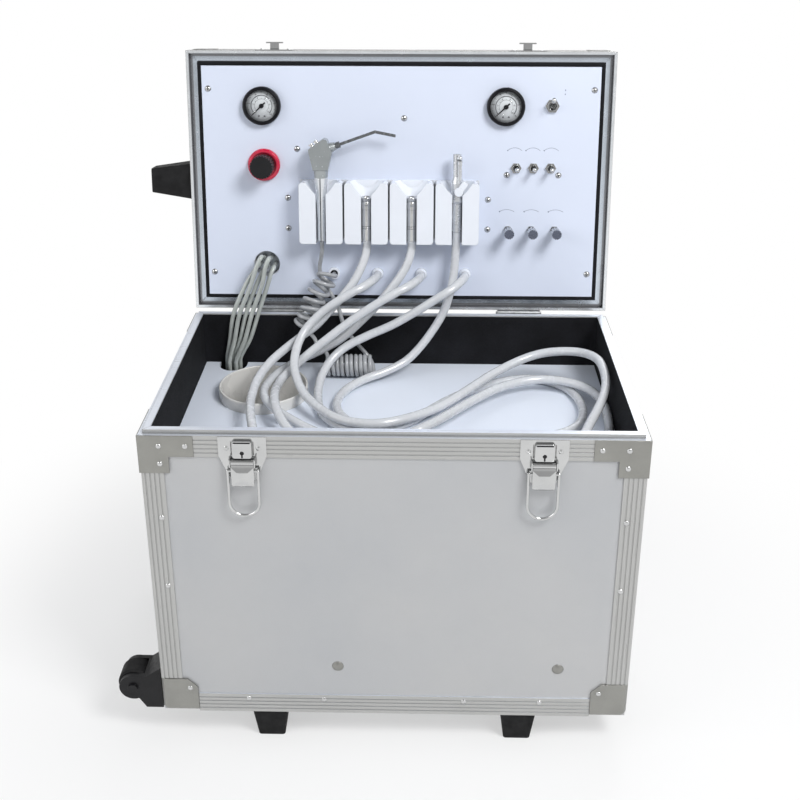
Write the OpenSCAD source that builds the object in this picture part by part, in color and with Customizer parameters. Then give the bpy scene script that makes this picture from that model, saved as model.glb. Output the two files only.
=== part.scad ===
// Portable dental unit: a hinged trolley case edged in aluminium. The lid carries the control panel,
// the base holds the deck, the cup and the compressor set. Sizes are millimetres, +Z is up and the
// front of the case faces -Y. The lid is modelled open, as the unit stands in use.

/* [Case] */
// Width of the case over its edge profiles
case_w = 480; // [470:1:520]
// Depth of the case over its edge profiles
case_d = 296; // [292:1:330]
// Height of the base from its underside to the shelf of its rim
base_h = 325; // [315:1:380]
// Depth of the lid
lid_d = 52; // [50:1:60]
// Lean of the open lid past upright, degrees
lid_lean = 7.75; // [4:0.25:12]
// Thickness of the laminated wall boards
board_t = 6; // [4:0.5:7]
// Thickness of the aluminium edge profiles
skin_t = 1.2; // [0.8:0.1:1.6]
// Width of an edge profile's leg
band_w = 22.5; // [20:0.5:26]
// Ribs pressed along each leg
rib_count = 4; // [2:1:5]
// Thickness of the foam liner
liner_t = 3.2; // [2:0.2:4]

/* [Rim] */
// Width of the flat shelf outside the tongue
shelf_w = 4.4; // [4.2:0.1:5]
// Inner edge of the tongue, from the case's outer face
tongue_in = 10.8; // [10.4:0.1:11]
// Height of the tongue over the shelf
tongue_h = 4; // [3:0.5:5]
// Wall of the rim profile
rim_t = 1.4; // [1:0.1:1.6]
// Depth of the groove in the lid's rim
groove_d = 7; // [6:0.5:9]

/* [Corner armour] */
// Length of a bottom corner cap along each edge
cap_w = 38; // [32:1:44]
// Height of a bottom corner cap
cap_h = 41; // [34:1:46]
// Stand-out of caps and corner plates from the profiles
cap_proud = 0.8; // [0.5:0.1:1.2]
// Length of a top corner plate along the rim
plate_l = 53; // [44:1:60]
// Width of a corner plate's downward leg
plate_leg_w = 29; // [25:1:34]
// Drop of a corner plate's downward leg
plate_drop = 40; // [34:1:50]

/* [Feet and wheels] */
// Height of the rubber feet
foot_h = 36; // [26:1:40]
// Width of a foot where it meets the case
foot_top = 37; // [32:1:42]
// Width of a foot where it stands
foot_end = 28; // [22:1:32]
// Distance of a foot's centre from the middle of the case
foot_x = 129; // [100:1:150]
// Wheel radius
wheel_r = 17; // [15:0.5:19]
// Wheel width
wheel_w = 22; // [16:1:24]
// Reach of the wheel centre from the case's end
wheel_reach = 31; // [28:1:36]
// Height of the wheel centre over the case's underside
wheel_z = 25; // [22:1:30]
// Wheel axle radius
axle_r = 3; // [2.5:0.25:4]

/* [Deck] */
// Drop of the deck below the shelf of the rim
deck_drop = 58; // [55:1:70]
// Thickness of the deck board
deck_t = 4; // [3:0.5:6]
// Outer radius of the cup
cup_r = 49.5; // [44:0.5:52]
// Height of the cup's lip over the deck
cup_rise = 13; // [8:1:18]
// Depth of the cup's body under the deck
cup_depth = 70; // [50:1:72]
// Wall of the cup
cup_wall = 2.4; // [2:0.2:3]
// Radius of the notch that the tubes pass through
notch_r = 16; // [15:0.5:20]

/* [Latches and hinges] */
// Distance of each latch from the middle of the case
latch_x = 141.5; // [120:0.5:160]
// Radius of the bail's wire
bail_wire_r = 1.5; // [1.2:0.1:1.6]
// Length of the bail from its pivot to the middle of its bow
bail_len = 49; // [46:1:52]
// Distance of each hinge from the middle of the case
hinge_x = 139; // [110:1:160]
// Width of a hinge
hinge_w = 50; // [40:1:64]
// Radius of a hinge knuckle
knuckle_r = 3.2; // [3:0.1:3.4]
// Radius of a hinge pin
pin_r = 1.5; // [1.2:0.1:1.8]
// Running clearance of pins and axles in their bores
run_gap = 0.05; // [0.02:0.01:0.1]

/* [Panel] */
// Thickness of the control panel's sheet
panel_t = 1.5; // [1.2:0.1:2]
// Drop of the gauges' centres below the lid's top edge
gauge_drop = 60.5; // [56:0.5:71]
// Radius of a gauge's bezel
bezel_r = 21.4; // [19:0.2:23]
// Height of the regulator's centre on the lid
regulator_v = 169; // [160:1:175]
// Radius of the regulator's ring
ring_r = 18.3; // [16:0.2:20]
// Radius of the regulator's knob
knob_r = 13; // [11:0.5:14]
// Height of the toggle valves' row on the lid
toggle_v = 166.6; // [160:0.2:172]
// Spacing of the toggle valves
toggle_pitch = 19.6; // [17:0.2:22]
// Height of the needle valves' row on the lid
needle_v = 95.3; // [88:0.2:102]
// Spacing of the needle valves
needle_pitch = 26.7; // [22:0.2:30]
// Radius of a needle valve's knob
needle_knob_r = 5.5; // [4.5:0.25:7]

/* [Instruments] */
// Spacing of the instrument holders
holder_pitch = 51.2; // [50.8:0.1:52]
// Width of one holder
holder_w = 49.2; // [44:0.2:49.6]
// Height of a holder
holder_h = 70; // [62:1:76]
// Depth of a holder
holder_d = 26; // [24:1:30]
// Width of a holder's slot
slot_w = 11.4; // [11.2:0.1:13]
// Radius of a handpiece connector
connector_r = 5; // [4.6:0.1:5.4]
// Height of the hose outlets' row on the lid
outlet_v = 43; // [38:1:46]
// Outer radius of the handpiece and suction hoses
hose_r = 4.8; // [4:0.1:5]
// Outer radius of the syringe's coiled hose
coil_r = 2.4; // [2:0.1:2.5]
// Radius of the coiled hose's curls
curl_r = 11; // [9:0.5:11.5]
// Outer radius of the tubes between lid and base
tube_r = 2.6; // [2:0.1:2.7]

/* [Hidden] */

eps = 0.01;
joint_gap = 0.2;
half_w = case_w / 2;
case_z = foot_h;
shelf_z = case_z + base_h;
floor_top = case_z + skin_t + board_t;
deck_z = shelf_z - deck_drop;

// Stack-up of a wall, from its outer face
board_in = skin_t + board_t;
liner_out = board_in + joint_gap;
liner_in = liner_out + liner_t;

// The lid turns about a pin behind the rear wall. Closed, its rim lies rim_gap over the shelf.
rim_gap = 0.5;
hinge_back = 3.6;
hinge_rise = 2.2;
hinge_y = case_d + hinge_back;
hinge_z = shelf_z + hinge_rise;
lid_l = case_d;
gauge_v = lid_l - gauge_drop;
rim_drop = hinge_rise - rim_gap;

// Bottom centre of the whole outline, where the frame's origin stands
cap_corner_r = 7;
latch_reach = 10;
wheel_out = wheel_reach + wheel_r;
handle_stand = 10;
grip_r = 6;
handle_out = handle_stand + grip_r + 1;
lid_back_y = hinge_y + (lid_d - rim_drop + cap_proud - cap_corner_r) * cos(lid_lean)
  + (lid_l + hinge_back + cap_proud - cap_corner_r) * sin(lid_lean) + cap_corner_r;
mid_x = (handle_out - wheel_out) / 2;
mid_y = (lid_back_y - latch_reach) / 2;

alloy = [0.80, 0.81, 0.82];
panel_silver = [0.75, 0.77, 0.79];
nickel = [0.78, 0.77, 0.74];
chrome = [0.86, 0.87, 0.88];
steel = [0.60, 0.61, 0.62];
black = [0.07, 0.07, 0.08];
foam = [0.05, 0.05, 0.06];
white = [0.93, 0.94, 0.96];
ivory = [0.88, 0.86, 0.80];
grey = [0.62, 0.64, 0.65];
hose_grey = [0.80, 0.81, 0.82];

// ---------------------------------------------------------------- shared placing

module in_frame() {
  translate([-mid_x, -mid_y, 0]) children();
}

// The lid's own frame: X across, Y into the lid from the plane of its rim, Z up along the open lid
module on_lid() {
  in_frame()
    translate([0, hinge_y, hinge_z])
      rotate([-lid_lean, 0, 0])
        translate([0, -rim_drop, hinge_back])
          children();
}

// Cylinder along Y from y0 to y1
module y_rod(r, y0, y1) {
  translate([0, y0, 0])
    rotate([-90, 0, 0])
      cylinder(r = r, h = y1 - y0);
}

// Cylinder along X from x0 to x1
module x_rod(r, x0, x1) {
  translate([x0, 0, 0])
    rotate([0, 90, 0])
      cylinder(r = r, h = x1 - x0);
}

// Runs its child along the four sides of a w by d rectangle that starts at y = 0
module four_sides(w, d) {
  for (s = [0 : 3]) {
    across = s % 2 == 0;
    $run = across ? w : d;
    translate([0, d / 2, 0])
      rotate([0, 0, 90 * s])
        translate([0, -(across ? d : w) / 2, 0])
          children();
  }
}

// Sweeps a section, drawn as [inward, up], along X
module along_x(run) {
  rotate([90, 0, 90])
    linear_extrude(run, center = true)
      children();
}

// Plan wedge that mitres a bar of the given run and depth
module mitre(run, depth, low, high) {
  translate([0, 0, low])
    linear_extrude(high - low)
      polygon([
        [-run / 2 + joint_gap, 0], [run / 2 - joint_gap, 0],
        [run / 2 - depth - joint_gap, depth], [-run / 2 + depth + joint_gap, depth]
      ]);
}

// Grooves between the ribs of a leg that starts at [0, 0] and runs up
groove_w = 1.3;
groove_cut = 0.4;
module leg_grooves(reach) {
  step = reach / (rib_count + 1);
  for (i = [1 : rib_count])
    translate([-eps, i * step - groove_w / 2])
      square([groove_cut + eps, groove_w]);
}

// Round-cornered plate in XZ, its back on y = 0, standing out by t towards -Y
module face_plate(w, h, t, r) {
  rotate([90, 0, 0])
    linear_extrude(t)
      rounded(w, h, r);
}

module rounded(w, h, r) {
  union() {
    square([w - 2 * r, h], center = true);
    square([w, h - 2 * r], center = true);
    for (x = [-1, 1], y = [-1, 1])
      translate([x * (w / 2 - r), y * (h / 2 - r)])
        circle(r);
  }
}

// Domed rivet or screw head of radius r standing out by h along +Z
module dome(r, h) {
  sphere_r = (r * r + h * h) / (2 * h);
  intersection() {
    translate([0, 0, h - sphere_r])
      sphere(sphere_r);
    cylinder(r = 2 * r, h = 2 * h);
  }
}

// ---------------------------------------------------------------- base: case

fan_x = 90;
fan_z = deck_z - 77;
fan_r = 36;
fan_box = 80;
inlet_x = 165;
inlet_z = case_z + 60;
inlet_w = 28;
inlet_h = 20;

module base_wall_panels() {
  color(panel_silver) in_frame()
    difference() {
      union() {
        for (y = [skin_t, case_d - board_in])
          translate([-half_w + skin_t, y, floor_top])
            cube([case_w - 2 * skin_t, board_t, shelf_z - rim_t - floor_top]);
        for (x = [-half_w + skin_t, half_w - board_in])
          translate([x, board_in + joint_gap, floor_top])
            cube([board_t, case_d - 2 * (board_in + joint_gap), shelf_z - rim_t - floor_top]);
      }
      translate([fan_x, case_d, fan_z])
        y_rod(fan_r, -board_in - 1, 1);
      translate([inlet_x, case_d - board_in / 2, inlet_z])
        cube([inlet_w + 1, 2 * board_in, inlet_h + 1], center = true);
    }
}

module base_floor() {
  color(panel_silver) in_frame()
    translate([-half_w + skin_t, skin_t, case_z + skin_t])
      cube([case_w - 2 * skin_t, case_d - 2 * skin_t, board_t]);
}

module base_rim_section() {
  difference() {
    polygon([
      [0, -band_w], [0, 0], [shelf_w, 0], [shelf_w, tongue_h], [tongue_in, tongue_h],
      [tongue_in, tongue_h - rim_t], [shelf_w + rim_t, tongue_h - rim_t],
      [shelf_w + rim_t, -rim_t], [skin_t, -rim_t], [skin_t, -band_w]
    ]);
    translate([0, -band_w])
      leg_grooves(band_w);
  }
}

module base_rim() {
  color(alloy) in_frame()
    translate([0, 0, shelf_z])
      four_sides(case_w, case_d)
        intersection() {
          along_x($run) base_rim_section();
          mitre($run, tongue_in + 1, -band_w - 1, tongue_h + 1);
        }
}

module corner_square(size, r) {
  union() {
    translate([r, 0]) square([size - r, size]);
    translate([0, r]) square([size, size - r]);
    translate([r, r]) circle(r);
  }
}

corner_r = 2.5;

module post_section() {
  difference() {
    corner_square(band_w, corner_r);
    translate([skin_t, skin_t])
      square(band_w);
    leg_grooves(band_w);
    mirror([1, 0]) rotate(90) leg_grooves(band_w);
  }
}

module edge_section() {
  difference() {
    square(band_w);
    translate([skin_t, skin_t])
      square(band_w);
    leg_grooves(band_w);
    mirror([1, 0]) rotate(90) leg_grooves(band_w);
  }
}

module base_edge_profiles() {
  post_low = case_z + cap_h + joint_gap;
  post_top = shelf_z - band_w - joint_gap;
  color(alloy) in_frame() {
    for (x = [0, 1], y = [0, 1])
      mirror([x, 0, 0])
        translate([-half_w, y * case_d, post_low])
          mirror([0, y, 0])
            linear_extrude(post_top - post_low)
              post_section();
    translate([0, 0, case_z])
      four_sides(case_w, case_d)
        along_x($run - 2 * (cap_w + joint_gap))
          edge_section();
  }
}

// A bottom corner cap, its outer corner near the origin and its edges along +X, +Y and +Z
module corner_cap(w, h) {
  difference() {
    hull() {
      translate([cap_corner_r - cap_proud, cap_corner_r - cap_proud, cap_corner_r - cap_proud])
        sphere(cap_corner_r, $fn = 24);
      for (p = [[w, cap_corner_r, cap_corner_r], [cap_corner_r, w, cap_corner_r],
           [cap_corner_r, cap_corner_r, h]])
        translate([p[0] == cap_corner_r ? p[0] - cap_proud : p[0] - 1,
             p[1] == cap_corner_r ? p[1] - cap_proud : p[1] - 1,
             p[2] == cap_corner_r ? p[2] - cap_proud : p[2] - 1])
          rotate(p[1] == w ? [-90, 0, 0] : p[0] == w ? [0, 90, 0] : [0, 0, 0])
            cylinder(r = cap_corner_r, h = 1, $fn = 24);
      translate([w - 1, w - 1 - 10, -cap_proud]) cube([1, 1, 1]);
      translate([w - 1 - 10, w - 1, -cap_proud]) cube([1, 1, 1]);
      translate([w - 1, -cap_proud, h - 11]) cube([1, 1, 1]);
      translate([w - 11, -cap_proud, h - 1]) cube([1, 1, 1]);
      translate([-cap_proud, w - 1, h - 11]) cube([1, 1, 1]);
      translate([-cap_proud, w - 11, h - 1]) cube([1, 1, 1]);
    }
    translate([skin_t, skin_t, skin_t])
      cube([w, w, h]);
  }
}

module rivet(r = 2.6, h = 1) {
  dome(r, h);
}

// Places its child on the case's front face at x, z, with +Z standing out of the face
module on_front(x, z, out = 0) {
  translate([x, -out, z])
    rotate([90, 0, 0])
      children();
}

module corner_plate_section() {
  difference() {
    square([plate_l, plate_drop]);
    translate([plate_leg_w, -eps])
      square([plate_l, plate_drop - band_w + joint_gap]);
  }
}

module corner_plate() {
  // two faces of folded sheet, its fold on the corner
  translate([0, 0, -plate_drop]) {
    translate([-cap_proud, 0, 0])
      rotate([90, 0, 0])
        linear_extrude(cap_proud)
          corner_plate_section();
    rotate([90, 0, 90])
      translate([0, 0, -cap_proud])
        linear_extrude(cap_proud)
          corner_plate_section();
  }
  for (p = [[19.5, -11], [44.5, -11], [19.5, -30]]) {
    on_front(p[0], p[1], cap_proud) rivet();
    translate([-cap_proud, p[0], p[1]]) rotate([0, -90, 0]) rivet();
  }
}

rivet_rows = [[16.5, 156], [16.5, 235]];
bottom_rivets = [72, 150];
module base_corner_armour() {
  color(nickel) in_frame() {
    for (x = [0, 1], y = [0, 1])
      mirror([x, 0, 0])
        translate([-half_w, y * case_d, 0])
          mirror([0, y, 0]) {
            translate([0, 0, case_z]) {
              corner_cap(cap_w, cap_h);
              on_front(30, 30, cap_proud) rivet();
              if (x == 1)
                translate([-cap_proud, 30, 30]) rotate([0, -90, 0]) rivet();
            }
            translate([0, 0, shelf_z]) corner_plate();
            for (r = rivet_rows) {
              on_front(r[0], case_z + r[1]) rivet();
              translate([0, r[0], case_z + r[1]]) rotate([0, -90, 0]) rivet();
            }
          }
    for (y = [0, 1], x = bottom_rivets, s = [-1, 1])
      translate([0, y * case_d, 0])
        mirror([0, y, 0])
          on_front(s * x, case_z + 17) rivet();
    for (x = [-112, 112])
      on_front(x + 55, case_z + 59, -skin_t) dome(6, 2.2);
  }
}

module foam_liner() {
  low = deck_z - deck_t - 12;
  high = shelf_z + tongue_h - rim_t - joint_gap;
  color(foam) in_frame() {
    for (y = [liner_out, case_d - liner_in])
      translate([-half_w + liner_out, y, low])
        cube([case_w - 2 * liner_out, liner_t, high - low]);
    for (x = [-half_w + liner_out, half_w - liner_in])
      translate([x, liner_in + joint_gap, low])
        cube([liner_t, case_d - 2 * (liner_in + joint_gap), high - low]);
  }
}

// ---------------------------------------------------------------- base: deck and what it carries

cup_x = -150;
cup_y = 201.5;
cup_step = 3.5;
notch_x = -196;
deck_gap = 0.3;
deck_half_w = half_w - liner_in - deck_gap;
deck_y0 = liner_in + deck_gap;
deck_y1 = case_d - liner_in - deck_gap;

module deck_board() {
  color(white) in_frame()
    difference() {
      translate([-deck_half_w, deck_y0, deck_z - deck_t])
        cube([2 * deck_half_w, deck_y1 - deck_y0, deck_t]);
      translate([cup_x, cup_y, deck_z - deck_t - 1])
        cylinder(r = cup_r - cup_step + deck_gap, h = deck_t + 2);
      translate([notch_x, deck_y1 - notch_r / 2, deck_z - deck_t - 1])
        cylinder(r = notch_r, h = deck_t + 2);
      translate([notch_x - notch_r, deck_y1 - notch_r / 2, deck_z - deck_t - 1])
        cube([2 * notch_r, notch_r, deck_t + 2]);
    }
}

frame_post = 14;
frame_t = 1.5;
frame_inset = 4;
module inner_frame() {
  frame_x = half_w - board_in - frame_inset - frame_post;
  frame_y0 = board_in + frame_inset;
  frame_y1 = case_d - board_in - frame_inset;
  rail_z = deck_z - deck_t - 12;
  color(steel) in_frame() {
    translate([-frame_x - frame_post, frame_y0, floor_top])
      cube([2 * (frame_x + frame_post), frame_y1 - frame_y0, frame_t]);
    for (s = [-1, 1]) {
      for (y = [frame_y0, frame_y1 - frame_post])
        translate([s * (frame_x + frame_post / 2) - frame_post / 2, y, floor_top])
          cube([frame_post, frame_post, deck_z - deck_t - floor_top]);
      translate([s * (frame_x + frame_post / 2) - frame_post / 2, frame_y0, deck_z - deck_t - frame_post])
        cube([frame_post, frame_y1 - frame_y0, frame_post]);
    }
  }
}

module rinse_cup() {
  inner_r = cup_r - cup_wall;
  body_r = cup_r - cup_step;
  color(ivory) in_frame()
    translate([cup_x, cup_y, deck_z])
      rotate_extrude()
        polygon([
          [0, -cup_depth], [body_r - 6, -cup_depth], [body_r, -cup_depth + 6], [body_r, 0],
          [cup_r, 0], [cup_r, cup_rise - 1], [cup_r - 0.8, cup_rise], [inner_r + 0.5, cup_rise],
          [inner_r, cup_rise - 1], [inner_r, 0], [body_r - cup_wall, -1.5],
          [body_r - cup_wall, -cup_depth + 8], [body_r - cup_wall - 4, -cup_depth + cup_wall],
          [0, -cup_depth + cup_wall]
        ]);
}

module tapered_foot(top, end, tall) {
  hull() {
    translate([0, 0, tall - 1])
      linear_extrude(1)
        rounded(top, top, 3, $fn = 24);
    linear_extrude(1)
      rounded(end, end, 3, $fn = 24);
  }
}

foot_inset = foot_top / 2 + 2;
module rubber_feet() {
  color(black) in_frame()
    for (x = [-foot_x, foot_x], y = [foot_inset, case_d - foot_inset])
      translate([x, y, 0])
        tapered_foot(foot_top, foot_end, foot_h);
}

// ---------------------------------------------------------------- wheels

cheek_t = 5;
cheek_gap = 1;
cheek_r = wheel_r - 2.5;
bracket_w = wheel_w + 2 * (cheek_gap + cheek_t);
bracket_inset = 4;
bracket_h = 50;

module bracket_side() {
  union() {
    polygon([
      [-wheel_reach + cheek_r - 2, 0], [-wheel_reach + 5, wheel_z - cheek_r + 1.5],
      [-wheel_reach, wheel_z - cheek_r + 0.4], [-wheel_reach, wheel_z + cheek_r - 0.3],
      [-wheel_reach + cheek_r, wheel_z + cheek_r - 0.3], [-cap_proud, bracket_h], [-cap_proud, 0]
    ]);
    translate([-wheel_reach, wheel_z])
      circle(cheek_r);
  }
}

// A bracket for the wheel at the left end, its near cheek on y = 0
module wheel_bracket() {
  difference() {
    rotate([90, 0, 0])
      translate([0, 0, -bracket_w])
        linear_extrude(bracket_w)
          bracket_side();
    translate([-wheel_reach, 0, wheel_z]) {
      y_rod(wheel_r + 1.5, cheek_t, bracket_w - cheek_t);
      translate([-wheel_r - 10, cheek_t, -wheel_r - 10])
        cube([wheel_r + 10, bracket_w - 2 * cheek_t, 2 * wheel_r + 20]);
      y_rod(axle_r + run_gap, -1, bracket_w + 1);
    }
  }
}

// Runs its child at both wheels
module at_wheels() {
  in_frame() {
    for (y = [bracket_inset, case_d - bracket_inset - bracket_w])
      translate([-half_w, y, case_z])
        children();
  }
}

module wheel_brackets() {
  color(black)
    at_wheels()
      wheel_bracket();
  color(steel)
    at_wheels()
      translate([-wheel_reach, 0, wheel_z]) {
        y_rod(axle_r, -1.5, bracket_w + 1.5);
        y_rod(axle_r + 2, -2.5, -joint_gap);
        y_rod(axle_r + 2, bracket_w + joint_gap, bracket_w + 2.5);
      }
}

module wheel(near_y) {
  tread = wheel_w / 2;
  color(black) in_frame()
    translate([-half_w - wheel_reach, near_y + bracket_w / 2, case_z + wheel_z])
      rotate([90, 0, 0])
        rotate_extrude()
          polygon([
            [axle_r + run_gap, -tread], [wheel_r * 0.45, -tread], [wheel_r * 0.5, -tread + 2],
            [wheel_r * 0.72, -tread + 2], [wheel_r * 0.78, -tread], [wheel_r - 2, -tread],
            [wheel_r, -tread + 2], [wheel_r, tread - 2], [wheel_r - 2, tread],
            [wheel_r * 0.78, tread], [wheel_r * 0.72, tread - 2], [wheel_r * 0.5, tread - 2],
            [wheel_r * 0.45, tread], [axle_r + run_gap, tread]
          ]);
}

module wheel_front() {
  wheel(bracket_inset);
}

module wheel_rear() {
  wheel(case_d - bracket_inset - bracket_w);
}

// ---------------------------------------------------------------- latches

plate_t = 1.2;
latch_w = 45.7;
latch_top_h = 23;
latch_tip_w = 20;
latch_h = 48.7;
lever_w = 21.6;
lever_pin_z = -25;
lever_pin_y = -5;
lever_pin_r = 1.2;
lever_low = -50.8;
bail_pin_z = -34;
ear_in = lever_w / 2 + 0.4;
ear_out = ear_in + plate_t;
bail_arm_x = ear_out + bail_wire_r + 0.4;

// Runs its child at one latch: side is -1 for the left and 1 for the right
module at_latch(side) {
  in_frame()
    translate([side * latch_x, 0, shelf_z])
      children();
}

module latch_plate() {
  rotate([90, 0, 0])
    linear_extrude(plate_t)
      difference() {
        polygon([
          [-latch_w / 2, 0], [latch_w / 2, 0], [latch_w / 2, -latch_top_h + 3],
          [latch_tip_w / 2 + 6, -latch_h + 12], [latch_tip_w / 2, -latch_h],
          [-latch_tip_w / 2, -latch_h], [-latch_tip_w / 2 - 6, -latch_h + 12],
          [-latch_w / 2, -latch_top_h + 3]
        ]);
        for (s = [-1, 1])
          translate([s * 10.4, -12])
            square([1, 14], center = true);
      }
  // lock housing with its keyhole
  difference() {
    translate([0, -plate_t + eps, -12.4])
      face_plate(18.4, 18, 3.2, 2.5);
    translate([0, 0, -15.8]) {
      y_rod(2, -6, -2.6);
      translate([-0.7, -6, -5])
        cube([1.4, 3.4, 5]);
    }
    translate([-8, -6, -5.6])
      cube([16, 3.4, 1.4]);
  }
  for (s = [-1, 1]) {
    translate([s * (ear_in + plate_t / 2), -4.6, lever_pin_z])
      cube([plate_t, 7.2, 8], center = true);
    on_front(s * 15.2, -12, plate_t) rivet(2.4, 0.9);
  }
  translate([0, lever_pin_y, lever_pin_z])
    x_rod(lever_pin_r, -ear_out, ear_out);
}

module latch_plates() {
  color(chrome)
    for (s = [-1, 1])
      at_latch(s) latch_plate();
}

module latch_lever(side) {
  color(chrome)
    at_latch(side)
      difference() {
        union() {
          translate([0, lever_pin_y, lever_pin_z])
            x_rod(2.6, -lever_w / 2, lever_w / 2);
          // domed tongue
          intersection() {
            translate([-lever_w / 2, 0, lever_low])
              rotate([90, 0, 0])
                linear_extrude(10.2)
                  translate([lever_w / 2, (lever_pin_z - lever_low) / 2])
                    rounded(lever_w, lever_pin_z - lever_low, 4);
            translate([0, 10.5, -39])
              x_rod(20.6, -lever_w / 2, lever_w / 2);
            translate([0, 16, 0])
              cylinder(r = 26, h = 200, center = true);
            translate([0, -8, 0])
              cube([60, 12, 200], center = true);
          }
        }
        translate([0, lever_pin_y, lever_pin_z])
          x_rod(lever_pin_r + run_gap, -20, 20);
        for (s = [-1, 1])
          translate([s * (lever_w / 2 - 1), lever_pin_y, bail_pin_z])
            x_rod(bail_wire_r + run_gap, -3, 3);
      }
}

module latch_lever_left() {
  latch_lever(-1);
}

module latch_lever_right() {
  latch_lever(1);
}

module latch_bail(side) {
  arm = bail_len - bail_arm_x;
  color(chrome)
    at_latch(side)
      translate([0, lever_pin_y, bail_pin_z]) {
        for (s = [-1, 1]) {
          translate([s * bail_arm_x, 0, -arm])
            cylinder(r = bail_wire_r, h = arm);
          translate([s * bail_arm_x, 0, 0])
            sphere(bail_wire_r + 0.02);
          translate([s * (bail_arm_x + lever_w / 2 - 3.4) / 2, 0, 0])
            rotate([0, 90, 0])
              cylinder(r = bail_wire_r, h = bail_arm_x - lever_w / 2 + 3.4, center = true);
        }
        translate([0, 0, -arm])
          rotate([90, 0, 0])
            rotate([0, 0, 180])
              rotate_extrude(angle = 180)
                translate([bail_arm_x, 0])
                  circle(bail_wire_r);
      }
}

module latch_bail_left() {
  latch_bail(-1);
}

module latch_bail_right() {
  latch_bail(1);
}

// ---------------------------------------------------------------- hinges

leaf_t = 1.5;
leaf_h = 22;
knuckle_n = 5;
knuckle_gap = 0.3;

// Knuckles of one leaf, on an axis along X: parity 0 is the base's, 1 the lid's
module knuckles(parity) {
  pitch = hinge_w / knuckle_n;
  for (i = [parity : 2 : knuckle_n - 1])
    x_rod(
      knuckle_r,
      -hinge_w / 2 + i * pitch + knuckle_gap / 2,
      -hinge_w / 2 + (i + 1) * pitch - knuckle_gap / 2
    );
}

module knuckle_slots(parity, low, high, depth) {
  pitch = hinge_w / knuckle_n;
  for (i = [1 - parity : 2 : knuckle_n - 1])
    translate([-hinge_w / 2 + i * pitch - knuckle_gap / 2, low, -depth])
      cube([pitch + knuckle_gap, high - low, 2 * depth]);
}

module hinge_base_leaves() {
  color(steel) in_frame()
    for (s = [-1, 1])
      translate([s * hinge_x, 0, 0]) {
        difference() {
          union() {
            translate([-hinge_w / 2, case_d, shelf_z - leaf_h])
              cube([hinge_w, leaf_t, leaf_h + hinge_rise]);
            translate([0, hinge_y, hinge_z])
              knuckles(0);
          }
          translate([0, hinge_y, hinge_z]) {
            x_rod(pin_r + run_gap, -hinge_w, hinge_w);
            knuckle_slots(0, -hinge_back - 1, knuckle_r + 1, knuckle_r + 0.6);
          }
          for (x = [-17, 17])
            translate([x, case_d, shelf_z - leaf_h + 6])
              y_rod(1.6, -1, leaf_t + 1);
        }
        translate([0, hinge_y, hinge_z])
          x_rod(pin_r, -hinge_w / 2 - 1.5, hinge_w / 2 + 1.5);
        for (x = [-17, 17])
          translate([x, case_d + leaf_t, shelf_z - leaf_h + 6])
            rotate([-90, 0, 0])
              rivet(2.8, 1);
      }
}

module hinge_lid_leaves() {
  color(steel) on_lid()
    for (s = [-1, 1])
      translate([s * hinge_x, 0, 0]) {
        difference() {
          union() {
            translate([-hinge_w / 2, rim_drop - 1, -leaf_t])
              cube([hinge_w, leaf_h, leaf_t]);
            translate([0, rim_drop, -hinge_back])
              knuckles(1);
          }
          translate([0, rim_drop, -hinge_back])
            x_rod(pin_r + run_gap, -hinge_w, hinge_w);
          translate([0, rim_drop, -hinge_back])
            rotate([90, 0, 0])
              knuckle_slots(1, -knuckle_r - 1, hinge_back + 1, knuckle_r + 0.6);
        }
        for (x = [-17, 17])
          translate([x, leaf_h - 5, -leaf_t])
            rotate([180, 0, 0])
              rivet(2.8, 1);
      }
}

// ---------------------------------------------------------------- carry handle on the right end

handle_y = case_d / 2;
handle_z = case_z + 236;
handle_half = 48;
handle_drop = 40;
handle_pin_r = 2.5;

module handle_bracket() {
  color(chrome) in_frame()
    translate([half_w, handle_y, handle_z]) {
      translate([(2.5 - skin_t) / 2, 0, -8])
        cube([2.5 + skin_t, 2 * handle_half + 34, 44], center = true);
      for (s = [-1, 1])
        translate([0, s * (handle_half + 9), 0])
          difference() {
            union() {
              translate([handle_stand / 2 + 1, 0, 0])
                cube([handle_stand - 2, 6, 12], center = true);
              translate([handle_stand, 0, 0])
                y_rod(6, -3, 3);
            }
            translate([handle_stand, 0, 0])
              y_rod(handle_pin_r + run_gap, -4, 4);
          }
    }
}

module carry_handle() {
  color(black) in_frame()
    translate([half_w + handle_stand, handle_y, handle_z]) {
      for (s = [-1, 1]) {
        translate([0, s * handle_half, -handle_drop / 2])
          cube([7, 8, handle_drop + 8], center = true);
        translate([0, s * (handle_half + 8) - 6, 0])
          y_rod(handle_pin_r, 0, 12);
      }
      translate([1, 0, -handle_drop])
        y_rod(grip_r, -handle_half - 4, handle_half + 4);
    }
}

// ---------------------------------------------------------------- inside the base

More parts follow.
